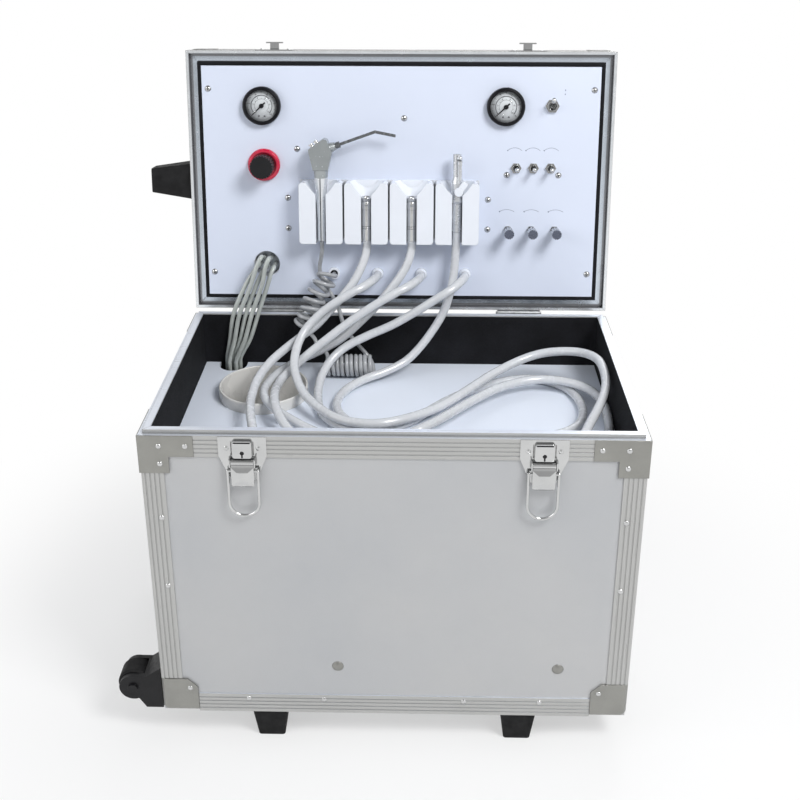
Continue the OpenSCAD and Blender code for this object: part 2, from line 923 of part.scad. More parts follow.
motor_r = 52;
motor_x = 100;
motor_y = case_d / 2 + 2;
pump_back = 48;
motor_z = floor_top + frame_t + 14 + motor_r;
module compressor() {
  color(grey) in_frame()
    translate([motor_x, motor_y, motor_z]) {
      difference() {
        x_rod(motor_r, -50, 50);
        for (a = [0 : 30 : 330])
          rotate([a, 0, 0])
            translate([0, motor_r, 0])
              cube([80, 3, 5], center = true);
      }
      for (s = [-1, 1]) {
        x_rod(motor_r - 8, s > 0 ? 50 - eps : -84, s > 0 ? 84 : -50 + eps);
        translate([s * 67, 0, motor_r - 2]) {
          cylinder(r = 24, h = 34);
          for (k = [0 : 3])
            translate([0, 0, 8 + 7 * k])
              cylinder(r = 28, h = 3);
          translate([0, 0, 38])
            cube([54, 54, 12], center = true);
        }
        for (y = [-34, 34]) {
          translate([s * 67, y, -motor_r - 6])
            cube([22, 20, 16], center = true);
          translate([s * 67, y, -motor_r - 14])
            cylinder(r = 9, h = 14);
        }
        translate([s * 67, 0, -motor_r + 4])
          cube([22, 80, 14], center = true);
      }
    }
  // suction pump beside it
  color(black) in_frame()
    translate([motor_x - 5, case_d - pump_back, floor_top + frame_t]) {
      translate([0, 0, 30])
        cube([90, 44, 60], center = true);
      translate([0, 0, 60 - eps])
        cylinder(r = 19, h = 22);
      for (x = [-30, 30])
        translate([x, 0, 60 - eps])
          cylinder(r = 5, h = 12);
    }
}

tank_r = 44;
tank_y = case_d - 74;
tank_z = floor_top + frame_t + 8 + tank_r;
module air_tank() {
  color(steel) in_frame()
    translate([-100, tank_y, tank_z]) {
      rotate([0, 90, 0])
        rotate_extrude()
          polygon([
            [0, -95], [20, -93], [34, -88], [tank_r, -78], [tank_r, 78], [34, 88], [20, 93], [0, 95]
          ]);
      for (s = [-60, 60])
        translate([s, 0, -tank_r - 2])
          cube([14, 60, 12], center = true);
    }
}

bottle_r = 38;
module bottles() {
  color(white) in_frame()
    for (x = [-158, -72])
      translate([x, 72, floor_top + frame_t])
        rotate_extrude()
          polygon([
            [0, 0], [bottle_r - 3, 0], [bottle_r, 3], [bottle_r, 120], [bottle_r - 6, 134],
            [20, 146], [20, 150], [24, 150], [24, 172], [22, 174], [0, 174]
          ]);
}

fan_frame_y = case_d - board_in - 25;
module rear_services() {
  color(black) in_frame() {
    translate([fan_x, 0, fan_z]) {
      difference() {
        translate([0, case_d - board_in - 12.5, 0])
          cube([fan_box, 25, fan_box], center = true);
        y_rod(fan_r, fan_frame_y + 4, case_d);
        for (a = [45 : 90 : 315])
          rotate([0, a, 0])
            translate([20, fan_frame_y - 1, -9])
              cube([13, 6, 18]);
      }
      translate([0, fan_frame_y + 4 - eps, 0])
        y_rod(2, 0, 16);
      // finger guard on the outside
      for (r = [12, 24, 36])
        rotate([-90, 0, 0])
          translate([0, 0, case_d + 1])
            difference() {
              cylinder(r = r + 2, h = 2);
              translate([0, 0, -1])
                cylinder(r = r, h = 4);
            }
      for (a = [0, 90])
        rotate([0, a, 0])
          translate([0, case_d + 1, 0])
            cube([fan_box, 2, 4], center = true);
      difference() {
        translate([0, case_d - skin_t + 1, 0])
          cube([fan_box + 8, 2 - eps, fan_box + 8], center = true);
        y_rod(fan_r + 2, case_d - 5, case_d + 5);
      }
    }
    // appliance inlet with its three pins
    translate([inlet_x, case_d, inlet_z])
      difference() {
        union() {
          translate([0, 0.5, 0])
            cube([46, 3, 28], center = true);
          translate([0, -12, 0])
            cube([inlet_w, 24, inlet_h], center = true);
        }
        translate([0, 2, 0])
          cube([24, 34, 16], center = true);
      }
    for (x = [-7, 0, 7])
      translate([inlet_x + x, case_d - 14, inlet_z + (x == 0 ? 2 : -2)])
        cube([2, 18, 4], center = true);
  }
}

module fan_rotor() {
  color(black) in_frame()
    translate([fan_x, fan_frame_y, fan_z])
      difference() {
        union() {
          y_rod(17, 6, 20);
          for (a = [0 : 51.4286 : 359])
            rotate([0, a, 0])
              translate([15, 13, 0])
                rotate([35, 0, 0])
                  cube([fan_r - 19, 1.6, 15]);
        }
        y_rod(2 + run_gap, 0, 30);
      }
}

// ---------------------------------------------------------------- lid: case

module lid_rim_section() {
  lip_in = shelf_w - 0.8;
  difference() {
    polygon([
      [0, 0], [lip_in, 0], [lip_in, groove_d], [tongue_in + 12, groove_d],
      [tongue_in + 12, groove_d + skin_t], [skin_t, groove_d + skin_t], [skin_t, band_w], [0, band_w]
    ]);
    leg_grooves(band_w);
  }
}

// A section [inward, into the lid] run round the lid's four sides
module lid_sides() {
  translate([0, 0, lid_l])
    rotate([-90, 0, 0])
      four_sides(case_w, lid_l)
        children();
}

lid_cap = lid_d - band_w - 1;

module lid_frame() {
  color(alloy) on_lid()
    lid_sides() {
      intersection() {
        along_x($run) lid_rim_section();
        mitre($run, tongue_in + 13, -1, band_w + 1);
      }
    }
  color(alloy) on_lid()
    lid_sides()
      translate([0, 0, lid_d])
        mirror([0, 0, 1])
          along_x($run - 2 * (lid_cap + joint_gap))
            edge_section();
  color(nickel) on_lid()
    translate([0, 0, lid_l])
      rotate([-90, 0, 0])
        for (x = [0, 1], y = [0, 1])
          mirror([x, 0, 0])
            translate([-half_w, y * lid_l, lid_d])
              mirror([0, y, 0])
                mirror([0, 0, 1])
                  corner_cap(lid_cap, lid_cap);
}

module lid_shell() {
  depth0 = groove_d + skin_t + joint_gap;
  depth1 = lid_d - skin_t;
  color(panel_silver) on_lid() {
    translate([-half_w + skin_t, depth1 - board_t, skin_t])
      cube([case_w - 2 * skin_t, board_t, lid_l - 2 * skin_t]);
    for (z = [skin_t, lid_l - board_in])
      translate([-half_w + skin_t, depth0, z])
        cube([case_w - 2 * skin_t, depth1 - board_t - joint_gap - depth0, board_t]);
    for (x = [-half_w + skin_t, half_w - board_in])
      translate([x, depth0, board_in + joint_gap])
        cube([board_t, depth1 - board_t - joint_gap - depth0, lid_l - 2 * (board_in + joint_gap)]);
  }
}

// The bail's round bow lies on the hook, which is narrower than the lip in front of it
catch_w = 19;
hook_w = 10;
catch_h = 9.2;
catch_y = bail_pin_z + bail_len - bail_wire_r - 1.4 - 1.5 - rim_gap;
module lid_catches() {
  color(chrome) on_lid()
    for (s = [-1, 1])
      translate([s * latch_x, 0, lid_l]) {
        translate([-21, 1, 0])
          cube([42, 21, plate_t]);
        translate([-hook_w / 2, catch_y, 0])
          cube([hook_w, 1.5, catch_h]);
        translate([-catch_w / 2, catch_y, catch_h - 1.5])
          cube([catch_w, 5.5, 1.5]);
        for (x = [-15, 15])
          translate([x, 14, plate_t])
            rivet(2.4, 0.9);
      }
}

side_foot_v = 148;
side_foot_out = wheel_out;
module side_foot() {
  color(black) on_lid()
    translate([-half_w - side_foot_out, 27, side_foot_v])
      rotate([0, 90, 0])
        tapered_foot(41, 28, side_foot_out);
}

gasket_n0 = tongue_in + 1.4;
gasket_n1 = 16.4;
module lid_gasket() {
  color(foam) on_lid()
    lid_sides()
      intersection() {
        along_x($run)
          translate([gasket_n0, 0.8])
            square([gasket_n1 - gasket_n0, groove_d - 0.8]);
        mitre($run, gasket_n1 + 1, 0, groove_d + 1);
      }
}

// ---------------------------------------------------------------- lid: control panel

panel_n = gasket_n1 + 0.2;
panel_y = 1;
panel_u = half_w - panel_n;
gauge_u = [-156, 118];
regulator_u = -155.2;
hole_v = 53;
hole_r = 15.3;
switch_u = 170;
switch_v = gauge_v + 1;
toggle_u = 150.8;
needle_u = 150.3;
needle_hole_r = 3.5;
toggle_hole_r = 4;
switch_hole_r = 6;
case_hole_r = 19;
outlet_bore_r = 3.6;
holder_mid = -12.3;
holder_us = [for (i = [0 : 3]) holder_mid + (i - 1.5) * holder_pitch];
outlet_us = [for (i = [0 : 3]) -0.7 + (i - 1.5) * 50.6];
toggle_us = [for (i = [-1 : 1]) toggle_u + i * toggle_pitch];
needle_us = [for (i = [-1 : 1]) needle_u + i * needle_pitch];

// Places its child on the panel's face at u, v, with -Y standing out towards the user
module on_panel(u, v) {
  on_lid()
    translate([u, panel_y, v])
      children();
}

module panel_hole(u, v, r) {
  translate([u, 0, v])
    y_rod(r, panel_y - 1, panel_y + panel_t + 1);
}

module control_panel() {
  v0 = panel_n;
  v1 = lid_l - panel_n;
  fold = groove_d - panel_y;
  color(white) on_lid()
    difference() {
      translate([-panel_u, panel_y, v0])
        cube([2 * panel_u, fold, v1 - v0]);
      translate([-panel_u + panel_t, panel_y + panel_t, v0 + panel_t])
        cube([2 * (panel_u - panel_t), fold, v1 - v0 - 2 * panel_t]);
      for (u = gauge_u)
        panel_hole(u, gauge_v, case_hole_r + 0.3);
      panel_hole(regulator_u, regulator_v, 9);
      panel_hole(regulator_u, hole_v, hole_r);
      panel_hole(switch_u, switch_v, switch_hole_r);
      for (u = toggle_us)
        panel_hole(u, toggle_v, toggle_hole_r + 0.2);
      for (u = needle_us)
        panel_hole(u, needle_v, needle_hole_r + 0.2);
      for (u = outlet_us)
        panel_hole(u, outlet_v, outlet_bore_r + 1.7);
    }
}

screw_u = half_w - 23.5;
screw_spots = [
  [-screw_u, lid_l - 42], [screw_u, lid_l - 42], [4, gauge_v - 13.5],
  [-117.4, 187], [-129, 131], [-129, 95.5],
  [-screw_u, 43.3], [screw_u, 43.3], [121, 158.5], [179.6, 158.5], [100.3, 130], [100.3, 95.5]
];
screw_head_r = 3.6;
module panel_screws() {
  color(chrome)
    for (p = screw_spots)
      on_panel(p[0], p[1])
        difference() {
          rotate([90, 0, 0])
            dome(screw_head_r, 2);
          for (a = [0, 90])
            rotate([0, a, 0])
              translate([0, -1.6, 0])
                cube([3.4, 1.8, 0.8], center = true);
        }
}

bezel_h = 9;
bezel_wall = 3.8;
dial_y = -4.6;
module gauge_cases() {
  color(black)
    for (u = gauge_u)
      on_panel(u, gauge_v) {
        difference() {
          union() {
            rotate([90, 0, 0])
              rotate_extrude()
                polygon([
                  [0, 0], [bezel_r, 0], [bezel_r, bezel_h - 2.5], [bezel_r - 0.8, bezel_h - 1],
                  [bezel_r - 2, bezel_h], [0, bezel_h]
                ]);
            y_rod(case_hole_r, -eps, 26);
            y_rod(5, 25, 38);
          }
          y_rod(bezel_r - bezel_wall, -bezel_h - 1, dial_y);
        }
        translate([0, 0, 0])
          y_rod(1, dial_y - 2, dial_y + 1);
      }
}

// Angle of the needles at rest: 0 points up, positive turns clockwise seen from the front
needle_rest = 227;
module gauge_needle(u) {
  color(black)
    on_panel(u, gauge_v)
      rotate([0, needle_rest, 0])
        difference() {
          union() {
            y_rod(2.6, dial_y - 2.2, dial_y - 0.4);
            translate([0, dial_y - 1.2, 0])
              rotate([90, 0, 0])
                linear_extrude(0.6)
                  polygon([[-0.9, 0], [-0.3, 15], [0.3, 15], [0.9, 0], [0.8, -5.5], [-0.8, -5.5]]);
          }
          y_rod(1 + run_gap, dial_y - 5, dial_y + 2);
        }
}

module gauge_needle_left() {
  gauge_needle(gauge_u[0]);
}

module gauge_needle_right() {
  gauge_needle(gauge_u[1]);
}

stem_r = 4;
module regulator_body() {
  color([0.70, 0.07, 0.07])
    on_panel(regulator_u, regulator_v) {
      difference() {
        rotate([90, 0, 0])
          rotate_extrude()
            polygon([
              [8.8, 0], [ring_r, 0], [ring_r, 3.5], [ring_r - 1.6, 5.5],
              [knob_r + 1.5, 6], [knob_r + 1.5, 3], [8.8, 3]
            ]);
      }
      y_rod(8.6, panel_t + joint_gap, 34);
      y_rod(17, panel_t + 4, 30);
      y_rod(stem_r, -20, panel_t + 4);
    }
}

flutes = 24;
module regulator_knob() {
  color(black)
    on_panel(regulator_u, regulator_v)
      difference() {
        union() {
          y_rod(knob_r - 0.8, -29, -4);
          y_rod(knob_r, -27.5, -9);
        }
        y_rod(stem_r + run_gap, -20 - run_gap, 0);
        for (a = [0 : 360 / flutes : 359])
          rotate([0, a, 0])
            translate([knob_r, 0, 0])
              y_rod(0.9, -30, -8);
      }
}

lever_len = 18;
switch_tilt = 25;
module lever_stick(r0, r1, long) {
  // slim stick with a rounded end, standing out along -Y from a ball
  union() {
    sphere(r0 + 0.9);
    rotate([90, 0, 0])
      cylinder(r1 = r0, r2 = r1, h = long);
    translate([0, -long, 0])
      sphere(r1 + 0.03);
  }
}

module power_lever() {
  color(chrome)
    on_panel(switch_u, switch_v)
      rotate([-switch_tilt, 0, 0])
        lever_stick(1.9, 2.7, lever_len);
}

toggle_len = 17;
module toggle_lever(i) {
  color(chrome)
    on_panel(toggle_us[i], toggle_v)
      lever_stick(1.6, 2.4, toggle_len);
}

module toggle_lever_1() {
  toggle_lever(0);
}

module toggle_lever_2() {
  toggle_lever(1);
}

module toggle_lever_3() {
  toggle_lever(2);
}

// Hexagonal nut on the panel's face, across flats af, with a bush of radius r standing out of it
module bushed_nut(af, nut_h, r, bush_h, bore, body) {
  difference() {
    union() {
      rotate([90, 0, 0])
        cylinder(r = af / sqrt(3), h = nut_h, $fn = 6);
      y_rod(r, -bush_h, panel_t + 6);
      translate([0, panel_t + joint_gap + 12, 0])
        cube([body, 24, body], center = true);
    }
    // ball seat that opens towards the user
    rotate([90, 0, 0])
      cylinder(r = bore, h = bush_h + 20);
    sphere(bore);
  }
}

module valve_bodies() {
  color(chrome) {
    on_panel(switch_u, switch_v)
      bushed_nut(14, 2.6, switch_hole_r - 0.2, 4.2, 4.7, 15);
    for (u = toggle_us)
      on_panel(u, toggle_v)
        bushed_nut(11, 2, toggle_hole_r, 4, 3.4, 12);
    for (u = needle_us)
      on_panel(u, needle_v) {
        rotate([90, 0, 0])
          cylinder(r = 5.2, h = 2.5, $fn = 6);
        y_rod(needle_hole_r, -3, panel_t + 8);
        y_rod(2, -22, -3 + eps);
        translate([0, panel_t + joint_gap + 10, 0])
          cube([13, 20, 13], center = true);
      }
  }
}

module needle_knob(i) {
  color(grey)
    on_panel(needle_us[i], needle_v)
      difference() {
        union() {
          y_rod(needle_knob_r, -29, -14);
          y_rod(needle_knob_r - 1.6, -14 - eps, -5);
        }
        y_rod(2 + run_gap, -22 - run_gap, 0);
        for (a = [0 : 30 : 330])
          rotate([0, a, 0])
            translate([needle_knob_r, 0, 0])
              y_rod(0.5, -30, -15);
      }
}

module needle_knob_1() {
  needle_knob(0);
}

module needle_knob_2() {
  needle_knob(1);
}

module needle_knob_3() {
  needle_knob(2);
}

// ---------------------------------------------------------------- lid: holders and instruments

holder_v0 = 82.5;
back_t = 2;
slot_axis = 17;
funnel_v = 128 - holder_v0;
funnel_r = 20;
module holder() {
  difference() {
    translate([0, -back_t - holder_d / 2, holder_h / 2])
      rotate([90, 0, 0])
        translate([0, 0, -holder_d / 2])
          linear_extrude(holder_d)
            rounded(holder_w, holder_h, 4);
    translate([0, -slot_axis, 0]) {
      cylinder(r = slot_w / 2, h = 3 * holder_h, center = true);
      translate([-slot_w / 2, -holder_d, -holder_h])
        cube([slot_w, holder_d, 3 * holder_h]);
      translate([0, 0, funnel_v])
        cylinder(r1 = slot_w / 2, r2 = funnel_r, h = holder_h - funnel_v + 0.1);
    }
  }
}

module instrument_holders() {
  plate_w = 3 * holder_pitch + holder_w + 2;
  color(white)
    on_panel(0, holder_v0) {
      translate([holder_mid - plate_w / 2, -back_t, 0])
        cube([plate_w, back_t, holder_h]);
      for (u = holder_us)
        translate([u, 0, 0])
          translate([0, eps, 0])
            holder();
    }
}

outlet_out = 4;
bulkhead_y = 18;
module hose_outlets() {
  color(white) {
    for (i = [0 : 3])
      on_panel(outlet_us[i], outlet_v) {
        y_rod(outlet_bore_r + 3.2, -outlet_out, 0);
        y_rod(outlet_bore_r + 1.4, -eps, 12);
      }
    // bulkhead behind the large hole, from which the tubes run
    on_panel(regulator_u, hole_v)
      y_rod(hole_r - 1, bulkhead_y, bulkhead_y + 8);
    on_panel(regulator_u, hole_v)
      difference() {
        y_rod(hole_r + 3, panel_t + joint_gap, bulkhead_y + eps);
        y_rod(hole_r - 0.6, 0, bulkhead_y + 2 * eps);
      }
  }
}

inst_y = -slot_axis;
button_r = 2.6;
button_spots = [4.8, 11.2];
facet_tilt = 35.1;
nozzle_r = 1.7;
tail_v = 84.6;
nozzle_v = 186.7;
nozzle_rise = 19.6;
nozzle_run = 64.8;
nozzle_end = 23.4;
nozzle_bend = 30.7;

module at_nozzle() {
  translate([0, 0, nozzle_v])
    rotate([0, -nozzle_rise, 0])
      children();
}

// The slanted facet of the syringe's head that carries both buttons: X up along it, Z out of it
module on_facet(along) {
  on_panel(holder_us[0], 0)
    translate([-13.4, inst_y, 189.1])
      rotate([0, -facet_tilt, 0])
        translate([along, 0, 0])
          children();
}

module syringe_body() {
  color(chrome)
    difference() {
      on_panel(holder_us[0], 0)
        translate([0, inst_y, 0]) {
          translate([0, 0, tail_v])
            cylinder(r = 4.6, h = 24);
          translate([0, 0, 108.6 - eps])
            cylinder(r1 = 4.6, r2 = slot_w / 2 - 0.3, h = holder_v0 + funnel_v - 108.6);
          translate([0, 0, holder_v0 + funnel_v - 2 * eps])
            cylinder(r1 = slot_w / 2 - 0.3, r2 = 8.4, h = 166 - holder_v0 - funnel_v);
          // shield-shaped head with flat sides
          translate([0, 8.6, 0])
            rotate([90, 0, 0])
              linear_extrude(17.2)
                polygon([
                  [-8.4, 166 - 4 * eps], [8.4, 166 - 4 * eps], [12.9, 185.7], [7.3, 199.7],
                  [3.4, 200.9], [-13.4, 189.1], [-12.6, 184]
                ]);
          at_nozzle()
            rotate([0, 90, 0])
              translate([0, 0, 11])
                cylinder(r1 = 6.2, r2 = 4.2, h = 6.5);
        }
      for (a = button_spots)
        on_facet(a)
          translate([0, 0, -6])
            cylinder(r = button_r + run_gap, h = 12);
      on_panel(holder_us[0], 0)
        translate([0, inst_y, 0])
          at_nozzle()
            x_rod(nozzle_r + 0.8 + run_gap, 13, 20);
    }
}

module syringe_button_air() {
  color(chrome)
    on_facet(button_spots[0])
      translate([0, 0, -3.5])
        cylinder(r = button_r, h = 7);
}

module syringe_button_water() {
  color(chrome)
    on_facet(button_spots[1])
      translate([0, 0, -3.5])
        cylinder(r = button_r, h = 7);
}

module syringe_nozzle() {
  color(chrome)
    on_panel(holder_us[0], 0)
      translate([0, inst_y, 0])
        at_nozzle() {
          x_rod(nozzle_r + 0.8, 14, 19);
          x_rod(3.6, 18, 23);
          x_rod(nozzle_r, 22, nozzle_run);
          translate([nozzle_run, 0, 0]) {
            sphere(nozzle_r + 0.02);
            rotate([0, nozzle_bend, 0])
              x_rod(nozzle_r, 0, nozzle_end);
          }
        }
}

connector_v0 = 85;
connector_v1 = 130.5;
socket_r = 3.6;
socket_depth = 8;
module handpiece_connectors() {
  color(chrome)
    for (i = [1, 2])
      on_panel(holder_us[i], connector_v0)
        translate([0, inst_y, 0])
          difference() {
            union() {
              cylinder(r = connector_r, h = connector_v1 - connector_v0);
              translate([0, 0, connector_v1 - connector_v0 - 9])
                cylinder(r = connector_r + 0.5, h = 5);
            }
            translate([0, 0, connector_v1 - connector_v0 - socket_depth])
              cylinder(r = socket_r, h = socket_depth + 1);
            for (v = [14, 16.5])
              translate([0, 0, v])
                difference() {
                  cylinder(r = connector_r + 1, h = 0.8);
                  cylinder(r = connector_r - 0.4, h = 0.8);
                }
          }
}

suction_v0 = 96;
lever_spot = [1.5, 47];
module suction_handle() {
  color(grey)
    on_panel(holder_us[3], suction_v0)
      translate([0, inst_y, 0])
        difference() {
          union() {
            cylinder(r = 5.3, h = 32);
            translate([0, 0, 32 - eps])
              cylinder(r1 = 5.3, r2 = 7.3, h = 3.5);
            translate([0, 0, 35.5 - 2 * eps])
              cylinder(r = 7.3, h = 20);
            translate([0, 0, 55.5 - 3 * eps])
              cylinder(r1 = 7.3, r2 = 4.7, h = 8);
            translate([-0.6, 0, 63 - 4 * eps])
              cylinder(r = 4.6, h = 25);
            for (v = [8, 11])
              translate([0, 0, v])
                cylinder(r = 5.5, h = 1.2);
            // side tube with a ball end
            translate([2.4, -5, 52])
              cylinder(r = 2.5, h = 26);
            translate([2.4, -5, 76])
              cylinder(r = 2.9, h = 5);
            translate([2.4, -5, 84])
              sphere(3.1);
          }
          translate([-0.6, 0, 40])
            cylinder(r = 3, h = 60);
          translate([lever_spot[0], 0, lever_spot[1]])
            y_rod(2.5 + run_gap, -10, -3.7);
        }
}

module suction_lever() {
  color(white)
    on_panel(holder_us[3], suction_v0)
      translate([lever_spot[0], inst_y, lever_spot[1]])
        union() {
          y_rod(2.5, -9, -3.9);
          y_rod(5, -12.5, -7.8);
          translate([0, -10.2, 0])
            rotate([0, 36, 0])
              translate([0, 0, 6.5])
                cube([7, 4.4, 13], center = true);
        }
}

// ---------------------------------------------------------------- hoses and tubes

// A hose is swept along points chosen by hand: [x, y, height over the deck], from lid to instrument
hose_gap = 0.02;
hose_sides = 10;
hose_rings = 76;
tube_sides = 8;
hose_lead = 10;
hose_low = deck_z + hose_r + 0.3;

function unit(v) = v / norm(v);

// A spot of the panel in the case's frame, y standing in behind the panel's face
function panel_spot(u, v, y) =
  let (b = panel_y + y - rim_drop, c = v + hinge_back)
  [u, hinge_y + b * cos(lid_lean) + c * sin(lid_lean), hinge_z - b * sin(lid_lean) + c * cos(lid_lean)];

function outlet_end(i) = [
  for (d = [hose_gap, hose_lead]) panel_spot(outlet_us[i], outlet_v, -outlet_out - d)
];
function holder_end(i, v) = [for (d = [hose_lead, hose_gap]) panel_spot(holder_us[i], v - d, inst_y)];
function over_deck(path) = [for (p = path) [p[0] * case_w / 480, p[1] * case_d / 296, deck_z + p[2]]];

// Smooth curve through all points of p, at t counted in points
function curve_at(p, t) =
  let (
    last = len(p) - 1,
    i = min(floor(t), last - 1),
    f = t - i,
    a = i > 0 ? p[i - 1] : 2 * p[0] - p[1],
    b = p[i],
    c = p[i + 1],
    d = i + 1 < last ? p[i + 2] : 2 * p[last] - p[last - 1]
  )
  (2 * b + (c - a) * f + (2 * a - 5 * b + 4 * c - d) * f * f + (3 * b - a - 3 * c + d) * f * f * f) / 2;

// The given number of rings along p, its first and last stretch kept straight and none under the deck
function eased(p, rings, low) =
  let (last = len(p) - 1)
  concat(
    [p[0]],
    [for (k = [0 : rings - 3])
      let (q = curve_at(p, 1 + k * (last - 2) / (rings - 3)))
      [q[0], q[1], max(q[2], low)]],
    [p[last]]
  );

function heading(p, k) = unit(p[min(k + 1, len(p) - 1)] - p[max(k - 1, 0)]);
function square_to(v, dir) = unit(v - dir * (v * dir));

module swept(p, r, sides) {
  last = len(p) - 1;
  across = [for (k = 0, n = square_to([1, 0.2, 0.1], heading(p, 0)); k <= last;
    n = square_to(n, heading(p, min(k + 1, last))), k = k + 1) n];
  points = [for (k = [0 : last])
    let (b = cross(heading(p, k), across[k]))
    for (s = [0 : sides - 1])
      p[k] + r * (cos(360 * s / sides) * across[k] + sin(360 * s / sides) * b)];
  walls = [for (k = [0 : last - 1], s = [0 : sides - 1], h = [0, 1])
    let (a = k * sides + s, b = k * sides + (s + 1) % sides)
    h == 0 ? [a, a + sides, b + sides] : [a, b + sides, b]];
  polyhedron(
    points = points,
    faces = concat(
      [[for (s = [0 : sides - 1]) s]],
      walls,
      [[for (s = [sides - 1 : -1 : 0]) last * sides + s]]
    )
  );
}

// Curls of radius r round the line p, eight rings each, opening and closing over six rings
function curls(p, turns, r, ref) =
  let (n = turns * 8, last = len(p) - 1)
  [for (i = [0 : n])
    let (
      t = i * last / n,
      dir = unit(curve_at(p, min(t + 0.1, last)) - curve_at(p, max(t - 0.1, 0))),
      a = square_to(ref, dir),
      b = cross(dir, a)
    )
    curve_at(p, t) + r * min(1, i / 6, (n - i) / 6) * (cos(45 * i) * a + sin(45 * i) * b)];

hanging_line = [
  [-78, 287, 108], [-84, 281, 103], [-93, 279, 94], [-98, 277, 85], [-101, 274, 76],
  [-104, 271, 67], [-109, 270, 59], [-115, 270, 52]
];
lying_line = [[-82, 250, 14], [-31, 249, 14]];
curl_low = [
  [-117, 270, 45], [-113, 272, 37], [-102, 274, 29], [-92, 270, 22], [-86, 261, 16]
];
curl_high = [
  [-28, 254, 20], [-31, 264, 24], [-42, 270, 29], [-53, 273, 35], [-61, 277, 44],
  [-66, 279.5, 54], [-70, 282, 63], [-74, 287, 74], [-79, 293, 86], [-84, 297, 100],
  [-88, 299, 114], [-90, 298, 132]
];
coil_path = concat(
  [for (d = [hose_gap, 5]) panel_spot(outlet_us[0], outlet_v, -outlet_out - d)],
  curls(over_deck(hanging_line), 7, curl_r, [1, 0, 0]),
  over_deck(curl_low),
  curls(over_deck(lying_line), 9, curl_r, [0, 1, 0]),
  over_deck(curl_high),
  [for (d = [12, 5, hose_gap]) panel_spot(holder_us[0], tail_v - d, inst_y)]
);
coil_air = min([for (i = [0 : len(coil_path) - 1], j = [0 : len(coil_path) - 1])
  if (j >= i + 6) norm(coil_path[i] - coil_path[j])]) - 2 * coil_r;
echo(coil_self_gap = coil_air);

module coil_hose() {
  color(grey) in_frame()
    swept(coil_path, coil_r, 6);
}

hose_two = [
  [-30, 278, 110], [-40, 265, 106], [-56, 257, 99], [-76, 251, 88], [-93, 246, 75],
  [-106, 237, 62], [-113, 223, 50], [-115, 204, 38], [-110, 184, 27], [-99, 161, 20],
  [-82, 137, 17], [-62, 117, 16], [-40, 107, 16], [-18, 106, 16], [2, 113, 16], [24, 128, 15],
  [44, 147, 14], [62, 162, 17], [80, 176, 22], [105, 194, 30], [134, 211, 38], [165, 223, 45],
  [193, 221, 48], [214, 206, 49], [221, 182, 47], [221, 152, 42], [212, 122, 35], [198, 94, 26],
  [182, 66, 15], [160, 42, 8], [130, 29, 5], [95, 24, 5], [50, 24, 5], [0, 24, 5], [-50, 24, 5],
  [-95, 26, 5], [-124, 38, 10], [-138, 60, 20], [-146, 88, 28], [-152, 116, 31], [-155, 145, 33],
  [-152, 177, 34], [-142, 207, 37], [-127, 232, 43], [-111, 247, 51], [-94, 255, 62],
  [-77, 263, 79], [-63, 269, 94], [-51, 276, 109], [-42, 286, 126]
];
hose_three = [
  [21, 278, 110], [11, 265, 107], [-5, 257, 101], [-25, 251, 90], [-46, 244, 78], [-65, 236, 66],
  [-84, 228, 53], [-102, 221, 40], [-116, 214, 29], [-126, 202, 23], [-131, 184, 21],
  [-131, 155, 24], [-126, 126, 22], [-114, 104, 13], [-96, 88, 6], [-72, 78, 5], [-40, 73, 5],
  [0, 72, 5], [50, 72, 5], [100, 72, 5], [145, 70, 5], [180, 72, 5], [205, 86, 5], [220, 110, 5],
  [223, 140, 9], [220, 168, 14], [208, 191, 16], [188, 207, 16], [162, 213, 16], [135, 206, 16],
  [108, 188, 16], [84, 163, 16], [62, 135, 17], [44, 113, 17], [25, 95, 16], [3, 86, 10],
  [-20, 85, 5], [-50, 89, 5], [-78, 102, 5], [-104, 120, 5], [-126, 136, 9], [-139, 149, 18],
  [-144, 168, 20], [-143, 190, 20], [-136, 213, 20], [-123, 234, 21], [-107, 249, 24],
  [-88, 258, 30], [-68, 262, 41], [-48, 266, 58], [-28, 270, 78], [-12, 275, 96], [0, 280, 111],
  [9, 286, 126]
];
module handpiece_hoses() {
  color(hose_grey) in_frame() {
    swept(
      eased(
        concat(outlet_end(1), over_deck(hose_two), holder_end(1, connector_v0)), hose_rings, hose_low
      ),
      hose_r, hose_sides
    );
    swept(
      eased(
        concat(outlet_end(2), over_deck(hose_three), holder_end(2, connector_v0)), hose_rings, hose_low
      ),
      hose_r, hose_sides
    );
  }
}

hose_four = [
  [71, 278, 109], [60, 265, 104], [43, 259, 94], [20, 259, 78], [-7, 257, 62], [-37, 251, 50],
  [-61, 242, 40], [-77, 229, 29], [-86, 210, 18], [-88, 188, 9], [-85, 165, 5], [-78, 143, 5],
  [-62, 122, 5], [-40, 108, 5], [-12, 100, 5], [20, 98, 5], [60, 98, 5], [100, 98, 5],
  [140, 100, 5], [170, 108, 5], [190, 126, 5], [199, 152, 5], [199, 182, 5], [189, 212, 5],
  [168, 231, 5], [142, 236, 5], [112, 226, 5], [84, 208, 5], [58, 184, 5], [36, 158, 5],
  [16, 132, 5], [-6, 117, 5], [-28, 118, 5], [-48, 130, 5], [-61, 148, 5], [-66, 170, 5],
  [-62, 194, 5], [-52, 213, 6], [-37, 227, 8], [-16, 239, 11], [6, 251, 18], [22, 261, 30],
  [36, 270, 46], [49, 277, 66], [57, 282, 88], [62, 289, 112]
];
module suction_hose() {
  color(hose_grey) in_frame()
    swept(
      eased(concat(outlet_end(3), over_deck(hose_four), holder_end(3, suction_v0)), hose_rings, hose_low),
      hose_r, hose_sides
    );
}

tube_n = 5;
tube_spots = [[-8.5, -2], [-4.5, 6.5], [0, -3], [4.5, 6.5], [8.5, -2]];

